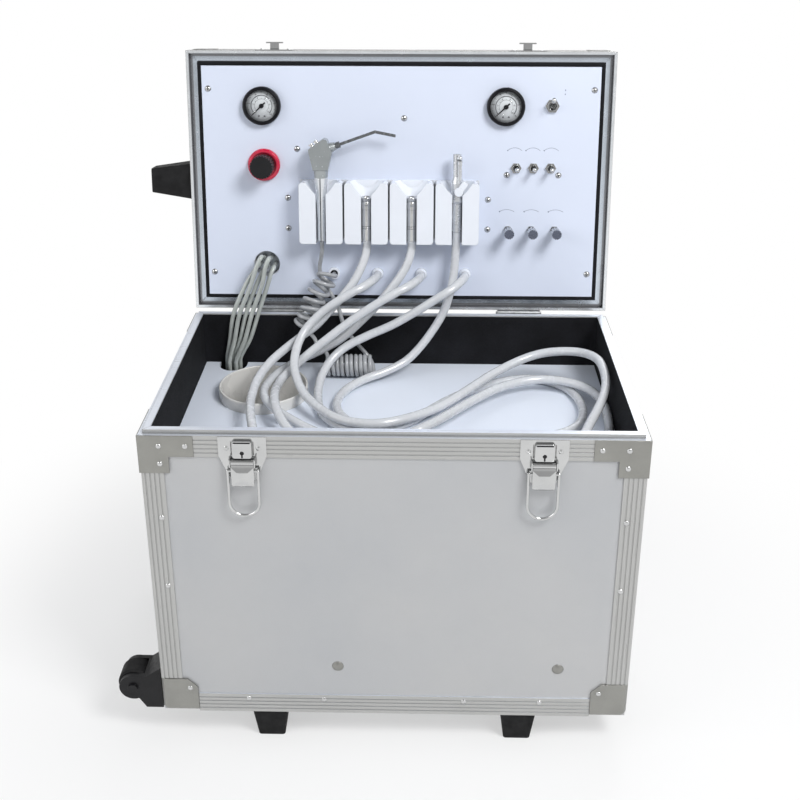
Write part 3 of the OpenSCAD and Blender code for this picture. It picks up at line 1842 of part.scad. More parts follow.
// Five tubes from the lid's bulkhead through the deck's notch: t runs 0 to 1 across them, and every
// other one (z = 1) lies in front of its neighbours
module tube_bundle() {
  color(hose_grey) in_frame()
    for (k = [0 : tube_n - 1]) {
      t = k / (tube_n - 1);
      z = k % 2 == 1 ? 1 : -1;
      path = concat(
        [for (y = [bulkhead_y - hose_gap, 8, -2])
          panel_spot(regulator_u + tube_spots[k][0], hole_v + tube_spots[k][1], y)],
        over_deck([
          [-163 + 17 * t, 292 - 3 * z, 126 + 6 * z - 4 * t],
          [-169 + 20 * t, 287 - 2.5 * z, 117 + 5 * z - 2 * t],
          [-179 + 27 * t, 284 - 3 * z, 96 + 4 * t],
          [-193 + 29 * t, 280 - 2 * z, 64 + t],
          [-199 + 24.5 * t, 278 - 2 * t - 2.5 * z, 31 + 3 * t],
          [-203 + 16 * t, 276.5 - 4 * z, 10],
          [-203.5 + 15 * t, 276.5 - 4 * z, -2],
          [-203.5 + 15 * t, 276.5 - 4 * z, -16]
        ])
      );
      swept(eased(path, 22, deck_z - 20), tube_r, tube_sides);
    }
}

base_wall_panels();
base_floor();
base_rim();
base_edge_profiles();
base_corner_armour();
foam_liner();
deck_board();
inner_frame();
rinse_cup();
rubber_feet();
wheel_brackets();
wheel_front();
wheel_rear();
latch_plates();
latch_lever_left();
latch_lever_right();
latch_bail_left();
latch_bail_right();
hinge_base_leaves();
hinge_lid_leaves();
handle_bracket();
carry_handle();
compressor();
air_tank();
bottles();
rear_services();
fan_rotor();
lid_shell();
lid_frame();
lid_catches();
side_foot();
lid_gasket();
control_panel();
panel_screws();
gauge_cases();
gauge_needle_left();
gauge_needle_right();
regulator_body();
regulator_knob();
power_lever();
valve_bodies();
toggle_lever_1();
toggle_lever_2();
toggle_lever_3();
needle_knob_1();
needle_knob_2();
needle_knob_3();
instrument_holders();
hose_outlets();
syringe_body();
syringe_button_air();
syringe_button_water();
syringe_nozzle();
handpiece_connectors();
suction_handle();
suction_lever();
coil_hose();
handpiece_hoses();
suction_hose();
tube_bundle();
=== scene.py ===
import math

import bmesh
import bpy
from mathutils import Matrix, Vector, noise


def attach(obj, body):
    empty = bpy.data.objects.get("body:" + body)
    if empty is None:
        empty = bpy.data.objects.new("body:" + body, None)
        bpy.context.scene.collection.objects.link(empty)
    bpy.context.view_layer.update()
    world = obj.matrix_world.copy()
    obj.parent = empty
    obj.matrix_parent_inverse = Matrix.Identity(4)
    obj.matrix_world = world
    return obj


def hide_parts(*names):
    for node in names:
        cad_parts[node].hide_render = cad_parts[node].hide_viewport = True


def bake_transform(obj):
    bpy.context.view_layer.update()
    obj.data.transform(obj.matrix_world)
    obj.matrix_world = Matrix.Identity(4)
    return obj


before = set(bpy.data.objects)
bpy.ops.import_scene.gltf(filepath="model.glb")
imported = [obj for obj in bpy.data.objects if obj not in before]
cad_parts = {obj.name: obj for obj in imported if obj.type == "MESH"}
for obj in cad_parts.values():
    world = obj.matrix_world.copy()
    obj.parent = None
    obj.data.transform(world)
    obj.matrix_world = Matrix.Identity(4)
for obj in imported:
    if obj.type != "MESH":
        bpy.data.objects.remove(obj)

# ---------------------------------------------------------------- clean start
# The empty file's own cube, lamp and camera go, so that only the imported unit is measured.
for name in ("Cube", "Light", "Camera"):
    if name in bpy.data.objects:
        bpy.data.objects.remove(bpy.data.objects[name])
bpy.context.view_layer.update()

# ---------------------------------------------------------------- camera
# The photographer stands in front and looks down at the open case, with the lens a little low in
# the picture. The stand is fitted to the eleven corners of the case and lid that the photo shows.
EYE = Vector((0.0421, -1.1184, 0.8769))
PITCH, YAW = math.radians(22.1), math.radians(-1.24)
camera = bpy.data.objects.new("camera", bpy.data.cameras.new("camera"))
bpy.context.scene.collection.objects.link(camera)
camera.data.sensor_width = 36
camera.data.lens = 50.95
camera.data.shift_y = -0.125
ahead = Vector((math.sin(YAW) * math.cos(PITCH), math.cos(YAW) * math.cos(PITCH), -math.sin(PITCH)))
rightward = Vector((math.cos(YAW), -math.sin(YAW), 0))
upward = rightward.cross(ahead)
camera.matrix_world = Matrix.Translation(EYE) @ Matrix(
    (rightward, upward, -ahead)).transposed().to_4x4()
camera.data.clip_start, camera.data.clip_end = 0.05, 60
bpy.context.scene.camera = camera

# ---------------------------------------------------------------- hoses of the instruments
# Three soft PVC hoses, 9.6 mm thick, leave the outlets of the lid's panel, lie in loose rings on
# the deck and go up again to the instruments. Extruded in one run, so they are smooth and glossy.
CASE_X, CASE_Y = 15.5, -189.9312
DECK_Z = 303
LEAN = math.radians(7.75)
HOSE_D = 0.0096
HOSE_ON_DECK = 5.1
OUTLETS = (-76.6, -26, 24.6, 75.2)
OUTLETS_V = 43
HOLDERS = (-89.1, -37.9, 13.3, 64.5)


def case(x, y, z):
    """A spot of the case, in millimetres from its middle, its front and the floor."""
    return Vector((x + CASE_X, y + CASE_Y, z)) / 1000


def panel(u, v, y):
    """A spot of the lid's panel: across, up, and in behind its face."""
    b, c = y - 0.7, v + 3.6
    return case(u, 299.6 + b * math.cos(LEAN) + c * math.sin(LEAN),
                363.2 - b * math.sin(LEAN) + c * math.cos(LEAN))


def deck(points):
    return [case(x, y, DECK_Z + z) for x, y, z in points]


def smooth(points, steps):
    """The soft line through all the points, with that many steps between two of them."""
    line = []
    first, last = 2 * points[0] - points[1], 2 * points[-1] - points[-2]
    row = [first, *points, last]
    for i in range(1, len(row) - 2):
        a, b, c, d = row[i - 1:i + 3]
        for k in range(steps):
            t = k / steps
            line.append((2 * b + (c - a) * t + (2 * a - 5 * b + 4 * c - d) * t * t
                         + (3 * b - a - 3 * c + d) * t ** 3) / 2)
    return line + [points[-1]]


def tube(name, line, radius, sides):
    """A tube round a line, with its ends closed and a UV map in metres round and along it."""
    last = len(line) - 1
    mesh = bmesh.new()
    uv = mesh.loops.layers.uv.new("along")
    across, far, rings = None, [0.0], []
    for k, spot in enumerate(line):
        run = (line[min(k + 1, last)] - line[max(k - 1, 0)]).normalized()
        side = across if across else Vector((1, 0.2, 0.1))
        across = (side - run * side.dot(run)).normalized()
        up = run.cross(across)
        rings.append([mesh.verts.new(spot + radius * (math.cos(a) * across + math.sin(a) * up))
                      for a in (math.tau * s / sides for s in range(sides))])
        if k:
            far.append(far[-1] + (spot - line[k - 1]).length)
    for k in range(last):
        for s in range(sides):
            n = (s + 1) % sides
            face = mesh.faces.new((rings[k][s], rings[k][n], rings[k + 1][n], rings[k + 1][s]))
            face.smooth = True
            for loop, (a, b) in zip(face.loops, ((s, k), (s + 1, k), (s + 1, k + 1), (s, k + 1))):
                loop[uv].uv = (a / sides * math.tau * radius, far[b])
    mesh.faces.new(rings[0][::-1])
    mesh.faces.new(rings[-1])
    return solid(name, mesh)


def solid(name, mesh):
    """A finished bmesh as an object of the scene."""
    bmesh.ops.recalc_face_normals(mesh, faces=mesh.faces)
    data = bpy.data.meshes.new(name)
    mesh.to_mesh(data)
    mesh.free()
    made = bpy.data.objects.new(name, data)
    bpy.context.scene.collection.objects.link(made)
    return made


def add_node(tree, kind, inputs, **settings):
    """A new node of a tree, with its settings, and its inputs linked or set."""
    made = tree.nodes.new(kind)
    for key, value in settings.items():
        setattr(made, key, value)
    for key, value in inputs.items():
        if isinstance(value, bpy.types.NodeSocket):
            tree.links.new(value, made.inputs[key])
        else:
            made.inputs[key].default_value = value
    return made


class Finish:
    """A surface finish: one shader, and the noises that make its colour, gloss and relief."""

    def __init__(self, name, colour, roughness, metallic=0.0, **values):
        self.material = bpy.data.materials.new(name)
        self.material.use_nodes = True
        self.nodes, self.links = self.material.node_tree.nodes, self.material.node_tree.links
        self.shader = self.nodes["Principled BSDF"]
        self.shader.inputs["Base Color"].default_value = (*colour, 1)
        self.shader.inputs["Roughness"].default_value = roughness
        self.shader.inputs["Metallic"].default_value = metallic
        for socket, value in values.items():
            self.shader.inputs[socket.replace("_", " ")].default_value = value
        spots = self.add("TexCoord").outputs
        self.place, self.facing = spots["Object"], spots["Normal"]
        self.colour, self.relief = colour, None

    def add(self, kind, inputs=None, **settings):
        return add_node(self.material.node_tree, "ShaderNode" + kind, inputs or {}, **settings)

    def noise(self, scale, detail=2.0, stretch=(1, 1, 1)):
        """Noise of that many waves to the metre, drawn out along the axes with a small stretch."""
        turned = self.add("Mapping", {"Vector": self.place, "Scale": stretch})
        return self.add("TexNoise", {"Vector": turned.outputs[0], "Scale": scale,
                                     "Detail": detail}).outputs["Fac"]

    def math(self, operation, a, b=0.0):
        return self.add("Math", {0: a, 1: b}, operation=operation).outputs[0]

    def axis(self, name, of=None):
        """How far the surface, or another vector, goes along X, Y or Z."""
        return self.add("SeparateXYZ", {"Vector": of or self.place}).outputs[name]

    def dot(self, of, way):
        return self.add("VectorMath", {0: of, 1: way}, operation="DOT_PRODUCT").outputs["Value"]

    def tint(self, factor, low, high):
        """Colour from low to high share of its own, as the factor goes from 0.3 to 0.7."""
        ramp = self.add("ValToRGB", {"Fac": factor})
        for stop, share, at in zip(ramp.color_ramp.elements, (low, high), (0.3, 0.7)):
            shares = share if isinstance(share, tuple) else (share,) * 3
            stop.position = at
            stop.color = (*(min(1, c * s) for c, s in zip(self.colour, shares)), 1)
        self.links.new(ramp.outputs["Color"], self.shader.inputs["Base Color"])
        return self

    def gloss(self, factor, low, high):
        spread = self.add("MapRange", {"Value": factor, "From Min": 0.3, "From Max": 0.7,
                                       "To Min": low, "To Max": high})
        self.links.new(spread.outputs["Result"], self.shader.inputs["Roughness"])
        return self

    def paint_crease_shade(self, reach, dark):
        """Paints shade into the colour: darkens, to that share, what lies in corners and grooves of
        about the reach.
        """
        open_sky = self.add("AmbientOcclusion", {"Distance": reach}, samples=6, only_local=True)
        share = self.add("MapRange", {"Value": open_sky.outputs["AO"], "From Min": 0.3,
                                      "From Max": 0.95, "To Min": dark, "To Max": 1.0})
        base = self.shader.inputs["Base Color"]
        shaded = self.add("VectorMath", {0: base.links[0].from_socket,
                                         "Scale": share.outputs["Result"]}, operation="SCALE")
        self.links.new(shaded.outputs[0], base)
        return self

    def overlay(self, factor, colour):
        """Lays another colour on the finish where the factor is 1."""
        base = self.shader.inputs["Base Color"]
        mixed = self.add("MixRGB", {"Fac": factor, "Color1": base.links[0].from_socket,
                                    "Color2": (*colour, 1)})
        self.links.new(mixed.outputs["Color"], base)
        return self

    def bump(self, height, depth, strength=1.0):
        inputs = {"Height": height, "Distance": depth, "Strength": strength}
        if self.relief:
            inputs["Normal"] = self.relief
        self.relief = self.add("Bump", inputs).outputs["Normal"]
        self.links.new(self.relief, self.shader.inputs["Normal"])
        return self

    def rounded(self, radius):
        """Lets the light run over the solid's sharp edges as over ones of that radius."""
        self.relief = self.add("Bevel", {"Radius": radius}, samples=4).outputs["Normal"]
        self.links.new(self.relief, self.shader.inputs["Normal"])
        return self

    def put(self, *pieces):
        """Gives the pieces, or CAD nodes by name, this finish in all their slots."""
        for piece in pieces:
            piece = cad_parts[piece] if isinstance(piece, str) else piece
            if not piece.data.materials:
                piece.data.materials.append(self.material)
            for i in range(len(piece.data.materials)):
                piece.data.materials[i] = self.material
        return self


pvc = Finish("soft hose", (0.60, 0.615, 0.64), 0.3, Coat_Weight=0.6, Coat_Roughness=0.12)
pvc.tint(pvc.noise(38, 3), 0.95, 1.03).gloss(pvc.noise(160, 4), 0.18, 0.32)
pvc.bump(pvc.noise(420, 2), 0.00006, 0.2)


def outlet(i, depth):
    return panel(OUTLETS[i], OUTLETS_V, -4 - depth)


def holder(i, v, depth):
    return panel(HOLDERS[i], v - depth, -17)


def hose(name, i, v, points, node):
    """A hose from outlet i round the deck to the instrument in holder i, whose tail ends at v."""
    line = smooth([outlet(i, 0.02), outlet(i, 6), *deck(points), holder(i, v, 10),
                   holder(i, v, 0.02)], 12)
    low = (DECK_Z + HOSE_ON_DECK) / 1000
    line = [Vector((p.x, p.y, max(p.z, low))) for p in line]
    made = tube(name, line, HOSE_D / 2, 20)
    pvc.put(made)
    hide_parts(node)
    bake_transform(made)
    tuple(line[0])


hose("handpiece_hose_1", 1, 85, (
    (-28, 285, 108), (-34, 273, 107), (-43, 264, 104), (-54, 258.5, 100), (-76, 251, 88),
    (-93, 246, 75), (-106, 237, 62), (-113, 223, 50), (-115, 204, 38), (-110, 184, 27),
    (-99, 161, 20), (-82, 137, 17), (-62, 117, 16), (-40, 107, 16), (-18, 106, 16),
    (2, 113, 16), (24, 128, 15), (44, 147, 14), (62, 163, 17), (80, 182, 20), (105, 207, 25),
    (134, 228, 31), (160, 236, 37), (183, 232, 42), (202, 221, 46), (215, 204, 48.5),
    (221, 184, 47.5), (221, 152, 42), (212, 122, 35), (198, 94, 26), (182, 66, 15),
    (160, 42, 8), (130, 29, 5), (95, 24, 5), (50, 24, 5), (0, 24, 5), (-50, 24, 5),
    (-95, 26, 5), (-124, 38, 9), (-138, 60, 15), (-146, 88, 21), (-152, 116, 23.5),
    (-155, 145, 24.5), (-152, 177, 31), (-142, 207, 37), (-127, 232, 43), (-111, 247, 51),
    (-94, 255, 62), (-77, 263, 79), (-63, 269, 94), (-51, 276, 109), (-42, 286, 126)),
    "handpiece_hoses")
hose("handpiece_hose_2", 2, 85, (
    (22.6, 285, 108), (16.6, 273, 107.3), (7.5, 264, 104.5), (-3.6, 258.5, 100.5), (-25, 251, 90),
    (-46, 244, 78),
    (-65, 236, 66), (-84, 228, 53), (-102, 221, 40), (-116, 214, 29), (-126, 202, 23),
    (-131, 184, 21), (-131, 155, 24), (-126, 126, 22), (-114, 104, 13), (-96, 88, 6),
    (-72, 78, 5), (-40, 73, 5), (0, 72, 5), (50, 72, 5), (100, 72, 5), (145, 70, 5), (180, 72, 5),
    (205, 86, 5), (220, 110, 5), (223, 140, 9), (220, 168, 14), (208, 191, 16), (188, 207, 16),
    (162, 213, 16), (135, 206, 16), (108, 188, 16), (84, 163, 16), (62, 135, 17), (44, 113, 17),
    (25, 95, 16), (3, 86, 10), (-20, 85, 5), (-50, 89, 5), (-78, 102, 5.5), (-104, 120, 8),
    (-127, 137, 13.5), (-140, 152, 18), (-145, 170, 20), (-143, 190, 20), (-136, 213, 20),
    (-123, 234, 21), (-107, 249, 24), (-88, 258, 30), (-68, 262, 41), (-48, 266, 58),
    (-28, 270, 78), (-12, 275, 96), (0, 280, 111), (9, 286, 126)),
    "handpiece_hoses")
hose("suction_hose_tube", 3, 96, (
    (73.3, 285, 108), (67.6, 274, 106.3), (59, 265.6, 102.3), (48.5, 261, 96.8), (35, 259.7, 88),
    (20, 259, 78), (-7, 257, 62), (-37, 251, 50),
    (-61, 242, 40), (-77, 229, 29), (-86, 210, 18), (-88, 188, 9), (-85, 165, 5), (-78, 143, 5),
    (-62, 122, 5), (-40, 108, 5), (-12, 100, 5), (20, 98, 5), (60, 98, 5), (100, 98, 5),
    (140, 100, 5), (170, 108, 5), (190, 126, 5), (199, 152, 5), (199, 182, 5), (189, 212, 5),
    (168, 231, 5), (142, 236, 5), (112, 226, 5), (84, 208, 5), (58, 184, 5), (36, 158, 5),
    (17, 134, 5), (-4, 118.5, 5), (-27, 116, 5), (-48, 127.5, 5), (-61, 147, 5), (-66, 170, 5),
    (-62, 194, 5), (-52, 213, 6), (-37, 227, 8), (-16, 239, 11), (6, 251, 18), (22, 261, 30),
    (36, 270, 46), (49, 277, 66), (57, 282, 88), (62, 289, 112)),
    "suction_hose")

# ---------------------------------------------------------------- coiled tube of the syringe
# A 4.8 mm polyurethane tube, wound hot on a rod so that it springs back into its curls. It leaves
# the first outlet and carries air and water to the syringe in the first holder.
COIL_D = 0.0048
CURL_R = 11
coil_pu = Finish("coiled tube", (0.36, 0.37, 0.385), 0.2, Coat_Weight=0.4, Coat_Roughness=0.06)
coil_pu.tint(coil_pu.noise(90, 3), 0.82, 1.16).gloss(coil_pu.noise(260, 3), 0.14, 0.3)


def curls(points, turns, ref, start=0.0, lead=1.0):
    """Turns of the tube round a line, eight knots each, from an angle; the first six open up."""
    n, last = int(turns * 8), len(points) - 1
    row = smooth(points, 80)
    made = []
    for i in range(n + 1):
        at = i * last * 80 / n
        spot = row[round(at)]
        run = (row[min(round(at) + 8, last * 80)] - row[max(round(at) - 8, 0)]).normalized()
        a = (Vector(ref) - run * run.dot(Vector(ref))).normalized()
        open_r = CURL_R / 1000 * min(1, lead + (1 - lead) * i / 6)
        turn = math.radians(45 * i + start)
        made.append(spot + open_r * (math.cos(turn) * a + math.sin(turn) * run.cross(a)))
    return made


coil_knots = [
    outlet(0, 0.02), outlet(0, 5),
    *curls(deck(((-82, 287, 113), (-86, 282.5, 104), (-91.5, 279, 95), (-97, 277, 86),
                 (-101, 274, 77), (-104, 271, 68), (-108, 270, 59), (-113, 270, 51))),
           7, (1, 0, 0), 0, 0.82),
    *deck(((-98, 263, 41.5), (-94.5, 259, 36), (-89, 258, 31), (-84.5, 256, 27))),
    *curls(deck(((-82, 250, 14), (-31, 249, 14))), 9.5, (0, 1, 0), 90),
    *deck(((-30, 258, 4.5), (-32, 267, 9.5), (-38, 272, 17), (-46, 274, 26), (-54, 276, 35),
           (-61, 278, 44), (-66, 280, 54), (-69, 283, 64), (-73, 288, 74), (-80, 294.5, 84),
           (-87, 299, 94), (-92, 300.5, 105), (-93, 299.5, 116), (-91, 296, 127))),
    holder(0, 84.6, 12), holder(0, 84.6, 5), holder(0, 84.6, 0.02)]
coil_line = smooth(coil_knots, 4)
coil = tube("syringe_coil_tube", coil_line, COIL_D / 2, 14)
coil_pu.put(coil)
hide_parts("coil_hose")
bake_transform(coil)
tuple(coil_line[0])

# ---------------------------------------------------------------- supply tubes through the notch
# Five thin polyurethane tubes bring air and water from the base: out of the bulkhead in the
# panel's large hole, down in a loose bundle, and through the notch in the deck.
TUBE_D = 0.0052
tube_pu = Finish("supply tube", (0.44, 0.47, 0.45), 0.2, Coat_Weight=0.5, Coat_Roughness=0.05)
tube_pu.tint(tube_pu.noise(60, 3), 0.85, 1.12).gloss(tube_pu.noise(300, 3), 0.12, 0.26)
for k, (du, dv) in enumerate(((-8.5, -2), (-4.5, 6.5), (0, -3), (4.5, 6.5), (8.5, -2))):
    t, z = k / 4, 1 if k % 2 else -1
    knots = [panel(-155.2 + du, 53 + dv, y) for y in (17.98, 8, -2)]
    knots += deck(((-163 + 17 * t, 292 - 3 * z, 126 + 6 * z - 4 * t),
                   (-169 + 20 * t, 287 - 2.5 * z, 117 + 5 * z - 2 * t),
                   (-179 + 27 * t, 284 - 3 * z, 96 + 4 * t),
                   (-193 + 29 * t, 280 - 2 * z, 64 + t),
                   (-199 + 24.5 * t, 278 - 2 * t - 2.5 * z, 31 + 3 * t),
                   (-203 + 16 * t, 276.5 - 4 * z, 10),
                   (-203.5 + 15 * t, 276.5 - 4 * z, -2), (-203.5 + 15 * t, 276.5 - 4 * z, -16)))
    line = [knots[0], *smooth(knots[1:-1], 8), knots[-1]]
    made = tube(f"supply_tube_{k + 1}", line, TUBE_D / 2, 14)
    tube_pu.put(made)
    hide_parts("tube_bundle")
    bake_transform(made)
    long = sum((b - a).length for a, b in zip(line, line[1:]))
    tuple(line[0])

# ---------------------------------------------------------------- boards of the case and lid
# Plywood boards with a silver laminate, embossed all over with a fine dotted lattice. They are cut
# square and slid into the aluminium profiles.
board = Finish("silver laminate", (0.50, 0.505, 0.515), 0.4, 0.35)
flat = board.math("ADD", board.axis("X"), board.axis("Y"))
rows = [board.math("SINE", board.math("MULTIPLY", board.math(way, flat, board.axis("Z")), 3900))
        for way in ("ADD", "SUBTRACT")]
lattice = board.math("MULTIPLY", rows[0], rows[1])
cloud = board.noise(5, 4)
down = board.axis("Z", board.facing)
lid_back_shade = board.math("MULTIPLY", board.math("LESS_THAN", down, -0.1),
                      board.math("GREATER_THAN", down, -0.5))
board.tint(board.math("ADD", board.math("MULTIPLY", cloud, 0.75), board.math(
    "MULTIPLY", board.noise(900, 2), 0.25)), (0.93, 0.945, 0.96), (1.06, 1.05, 1.03))
# Painted shade: faces that lean downwards, the back of the open lid, get a much darker copy of the
# laminate colour.
board.overlay(lid_back_shade, (0.27, 0.275, 0.285))
board.gloss(board.noise(60, 4), 0.33, 0.47).rounded(0.0006)
board.bump(lattice, 0.00008, 0.5).bump(board.noise(1500, 2), 0.00005, 0.3)
board.put("base_wall_panels", "base_floor", "lid_shell")

# ---------------------------------------------------------------- aluminium profiles of the base
# Extruded edge profiles, ribbed along their length and clear anodised, mitred round the base. Every
# upward face gets a painted highlight, and corners and grooves get painted shade.
alloy = Finish("anodised aluminium", (0.475, 0.475, 0.465), 0.32, 0.6)
lengthwise = alloy.noise(700, 3, (0.02, 1, 1))
upwards = alloy.noise(700, 3, (1, 1, 0.02))
height = alloy.axis("Z")
upper = alloy.math("MULTIPLY", alloy.math("GREATER_THAN", height, 0.065),
                   alloy.math("LESS_THAN", height, 0.335))
grain = alloy.add("Mix", {"Factor": upper, "A": lengthwise, "B": upwards}).outputs["Result"]
alloy.tint(alloy.math("ADD", alloy.math("MULTIPLY", grain, 0.35), alloy.math(
    "MULTIPLY", alloy.noise(9, 3), 0.65)), 0.965, 1.035)
# Painted highlight: faces that look upwards get a lighter, bluish colour, as where the light from
# above falls.
alloy.overlay(alloy.math("GREATER_THAN", alloy.axis("Z", alloy.facing), 0.7), (0.72, 0.755, 0.82))
# Painted shade: corners and the grooves between the ribs are darkened.
alloy.paint_crease_shade(0.0032, 0.4).gloss(grain, 0.27, 0.38).rounded(0.0004).bump(grain, 0.00002, 0.3)
alloy.put("base_rim", "base_edge_profiles")

# ---------------------------------------------------------------- aluminium frame of the lid
# The lid's profile has a bright lip, a channel for the base's tongue and a bead that holds the
# gasket. It is drawn aluminium, and the bands across its section are painted light and shade.
LID_FOOT = panel(0, 0, -1)
LID_UP = Vector((0, math.sin(LEAN), math.cos(LEAN)))
LID_OUT = Vector((0, -math.cos(LEAN), math.sin(LEAN)))
CASE_HALF_W, CASE_DEEP = 240, 296
drawn = Finish("lid profile", (0.52, 0.53, 0.54), 0.22, 0.75)
on_lid = drawn.add("VectorMath", {0: drawn.place, 1: LID_FOOT}, operation="SUBTRACT").outputs[0]
up_lid = drawn.dot(on_lid, LID_UP)
half = drawn.math("SUBTRACT", CASE_HALF_W / 1000, drawn.math(
    "ABSOLUTE", drawn.axis("X", on_lid)))
inward = drawn.math("MINIMUM", half, drawn.math(
    "MINIMUM", up_lid, drawn.math("SUBTRACT", CASE_DEEP / 1000, up_lid)))
# Painted light and shade across the section: the dark line at 3.5 mm and the grey band to 6.2 mm
# are painted shade on the channel's wall, the bluish band from 6.9 to 11.2 mm is painted light on
# the channel's lit floor, and the dark stops from 11.9 mm in are painted shade.
steps = drawn.add("ValToRGB", {"Fac": drawn.math("MULTIPLY", inward, 1 / 0.0125)})
ramp = steps.color_ramp.elements
for stop, share in zip(ramp, ((0.50, 0.50, 0.50), (0.05, 0.05, 0.06))):
    stop.color = (*share, 1)
for millimetres, share in ((0.1, (0.50, 0.50, 0.50)), (0.4, (0.86, 0.88, 0.90)),
                           (2.9, (0.80, 0.83, 0.86)), (3.5, (0.14, 0.14, 0.15)),
                           (4.3, (0.36, 0.37, 0.39)), (6.2, (0.33, 0.34, 0.36)),
                           (6.9, (0.66, 0.72, 0.79)), (11.2, (0.74, 0.81, 0.90)),
                           (11.9, (0.12, 0.12, 0.13))):
    ramp.new(millimetres / 12.5).color = (*share, 1)
drawn.links.new(steps.outputs["Color"], drawn.shader.inputs["Base Color"])
drawn.overlay(drawn.math("LESS_THAN", drawn.dot(on_lid, LID_OUT), -0.008), (0.46, 0.46, 0.45))
# Painted shade in the profile's corners and grooves.
drawn.paint_crease_shade(0.0025, 0.75).gloss(drawn.noise(60, 2), 0.18, 0.28).rounded(0.0003)
drawn.put("lid_frame")

# ---------------------------------------------------------------- corner plates
# Pressed corner caps and plates, satin nickel plated, held by domed rivets.
nickel = Finish("satin nickel", (0.32, 0.318, 0.298), 0.36, 0.88)
# Painted shade: corners and creases are darkened.
nickel.tint(nickel.noise(40, 4), 0.93, 1.06).paint_crease_shade(0.0016, 0.25)
nickel.gloss(nickel.noise(500, 3), 0.28, 0.44).rounded(0.0008)
nickel.bump(nickel.noise(1600, 2), 0.00004, 0.35)
nickel.put("base_corner_armour")

# ---------------------------------------------------------------- bright metal
# Chrome-plated steel and brass: the latches, catches, valve bushings, levers, screws and
# instruments, buffed, with faint finger marks and painted shade in the corners.
chrome = Finish("chrome plate", (0.60, 0.605, 0.605), 0.09, 1.0)
# Painted shade: corners and grooves are darkened to a sixth of the colour.
chrome.tint(chrome.noise(30, 3), 0.93, 1.05).paint_crease_shade(0.0018, 0.16)
chrome.gloss(chrome.noise(140, 4), 0.05, 0.16)
chrome.rounded(0.0004).bump(chrome.noise(220, 2), 0.00006, 0.15)
chrome.put("latch_plates", "latch_lever_left", "latch_lever_right", "latch_bail_left",
           "latch_bail_right", "lid_catches", "valve_bodies", "power_lever",
           "toggle_lever_1", "toggle_lever_2", "toggle_lever_3",
           "syringe_button_air", "syringe_button_water", "handpiece_connectors",
           "handle_bracket")

# ---------------------------------------------------------------- rivets
# Domed chrome-plated steel rivets through the corner caps, corner plates and edge profiles. Each
# stands at its own spot, on the front and back or on the two sides of the base.
RIVET_R, RIVET_H = 0.00275, 0.0013


def fitting(name, mesh, finish, body="lid"):
    """A finished bmesh as a rigid piece of a body."""
    made = solid(name, mesh)
    finish.put(made)
    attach(made, body)


class Grower:
    """A Geometry Nodes tree with named inputs that sets one body on many points."""

    def __init__(self, name, inputs):
        self.tree = bpy.data.node_groups.new(name, "GeometryNodeTree")
        self.sockets = {}
        for title, kind in inputs:
            self.sockets[title] = self.tree.interface.new_socket(
                title, in_out="INPUT", socket_type="NodeSocket" + kind)
        self.tree.interface.new_socket("Bodies", in_out="OUTPUT", socket_type="NodeSocketGeometry")
        self.given = self.node("NodeGroupInput", {})

    def node(self, kind, inputs, **settings):
        return add_node(self.tree, kind, inputs, **settings).outputs

    def calc(self, operation, a, b=0.0):
        return self.node("ShaderNodeMath", {0: a, 1: b}, operation=operation)[0]

    def sow(self, points, body, euler):
        """The tree's end: the body on every point, turned, made real and given its finish."""
        turn = self.node("FunctionNodeEulerToRotation", {"Euler": euler})[0]
        bodies = self.node("GeometryNodeInstanceOnPoints", {
            "Points": points, "Instance": body, "Rotation": turn})[0]
        whole = self.node("GeometryNodeRealizeInstances", {"Geometry": bodies})[0]
        self.node("NodeGroupOutput", {"Bodies": self.node("GeometryNodeSetMaterial", {
            "Geometry": whole, "Material": self.given["Finish"]})[0]})

    def grow(self, values, spots=()):
        """The plain mesh that the tree makes with these inputs on a carrier of spots."""
        mesh = bpy.data.meshes.new("spots")
        mesh.from_pydata(spots, [], [])
        carrier = bpy.data.objects.new("spots", mesh)
        bpy.context.scene.collection.objects.link(carrier)
        maker = carrier.modifiers.new("grown", "NODES")
        maker.node_group = self.tree
        for title, value in values.items():
            maker[self.sockets[title].identifier] = value
        bpy.context.view_layer.update()
        made = bpy.data.meshes.new_from_object(
            carrier.evaluated_get(bpy.context.evaluated_depsgraph_get()))
        bpy.data.objects.remove(carrier)
        return made


riveter = Grower("rivets", (("Spots", "Geometry"), ("Radius", "Float"), ("Flatness", "Float"),
                            ("Turn", "Vector"), ("Finish", "Material")))
ball = riveter.node("GeometryNodeMeshUVSphere", {"Segments": 24, "Rings": 14,
                                                 "Radius": riveter.given["Radius"]})[0]
dome = riveter.node("GeometryNodeTransform", {"Geometry": ball, "Scale": riveter.node(
    "ShaderNodeCombineXYZ", {"X": 1.0, "Y": 1.0, "Z": riveter.given["Flatness"]})[0]})[0]
riveter.sow(riveter.given["Spots"], dome, riveter.given["Turn"])
PLATE_OUT, PLATE_Z, CASE_FOOT_Z = 0.8, 361, 36
ON_PLATES = ((19.5, PLATE_Z - 11), (44.5, PLATE_Z - 11), (19.5, PLATE_Z - 30))
ON_PROFILES = ((16.5, CASE_FOOT_Z + 156), (16.5, CASE_FOOT_Z + 235))
FOOT_RIVETS = ((CASE_HALF_W - 72, CASE_FOOT_Z + 17), (CASE_HALF_W - 150, CASE_FOOT_Z + 17))
CAP_RIVET = (30, CASE_FOOT_Z + 30)
mesh = bmesh.new()
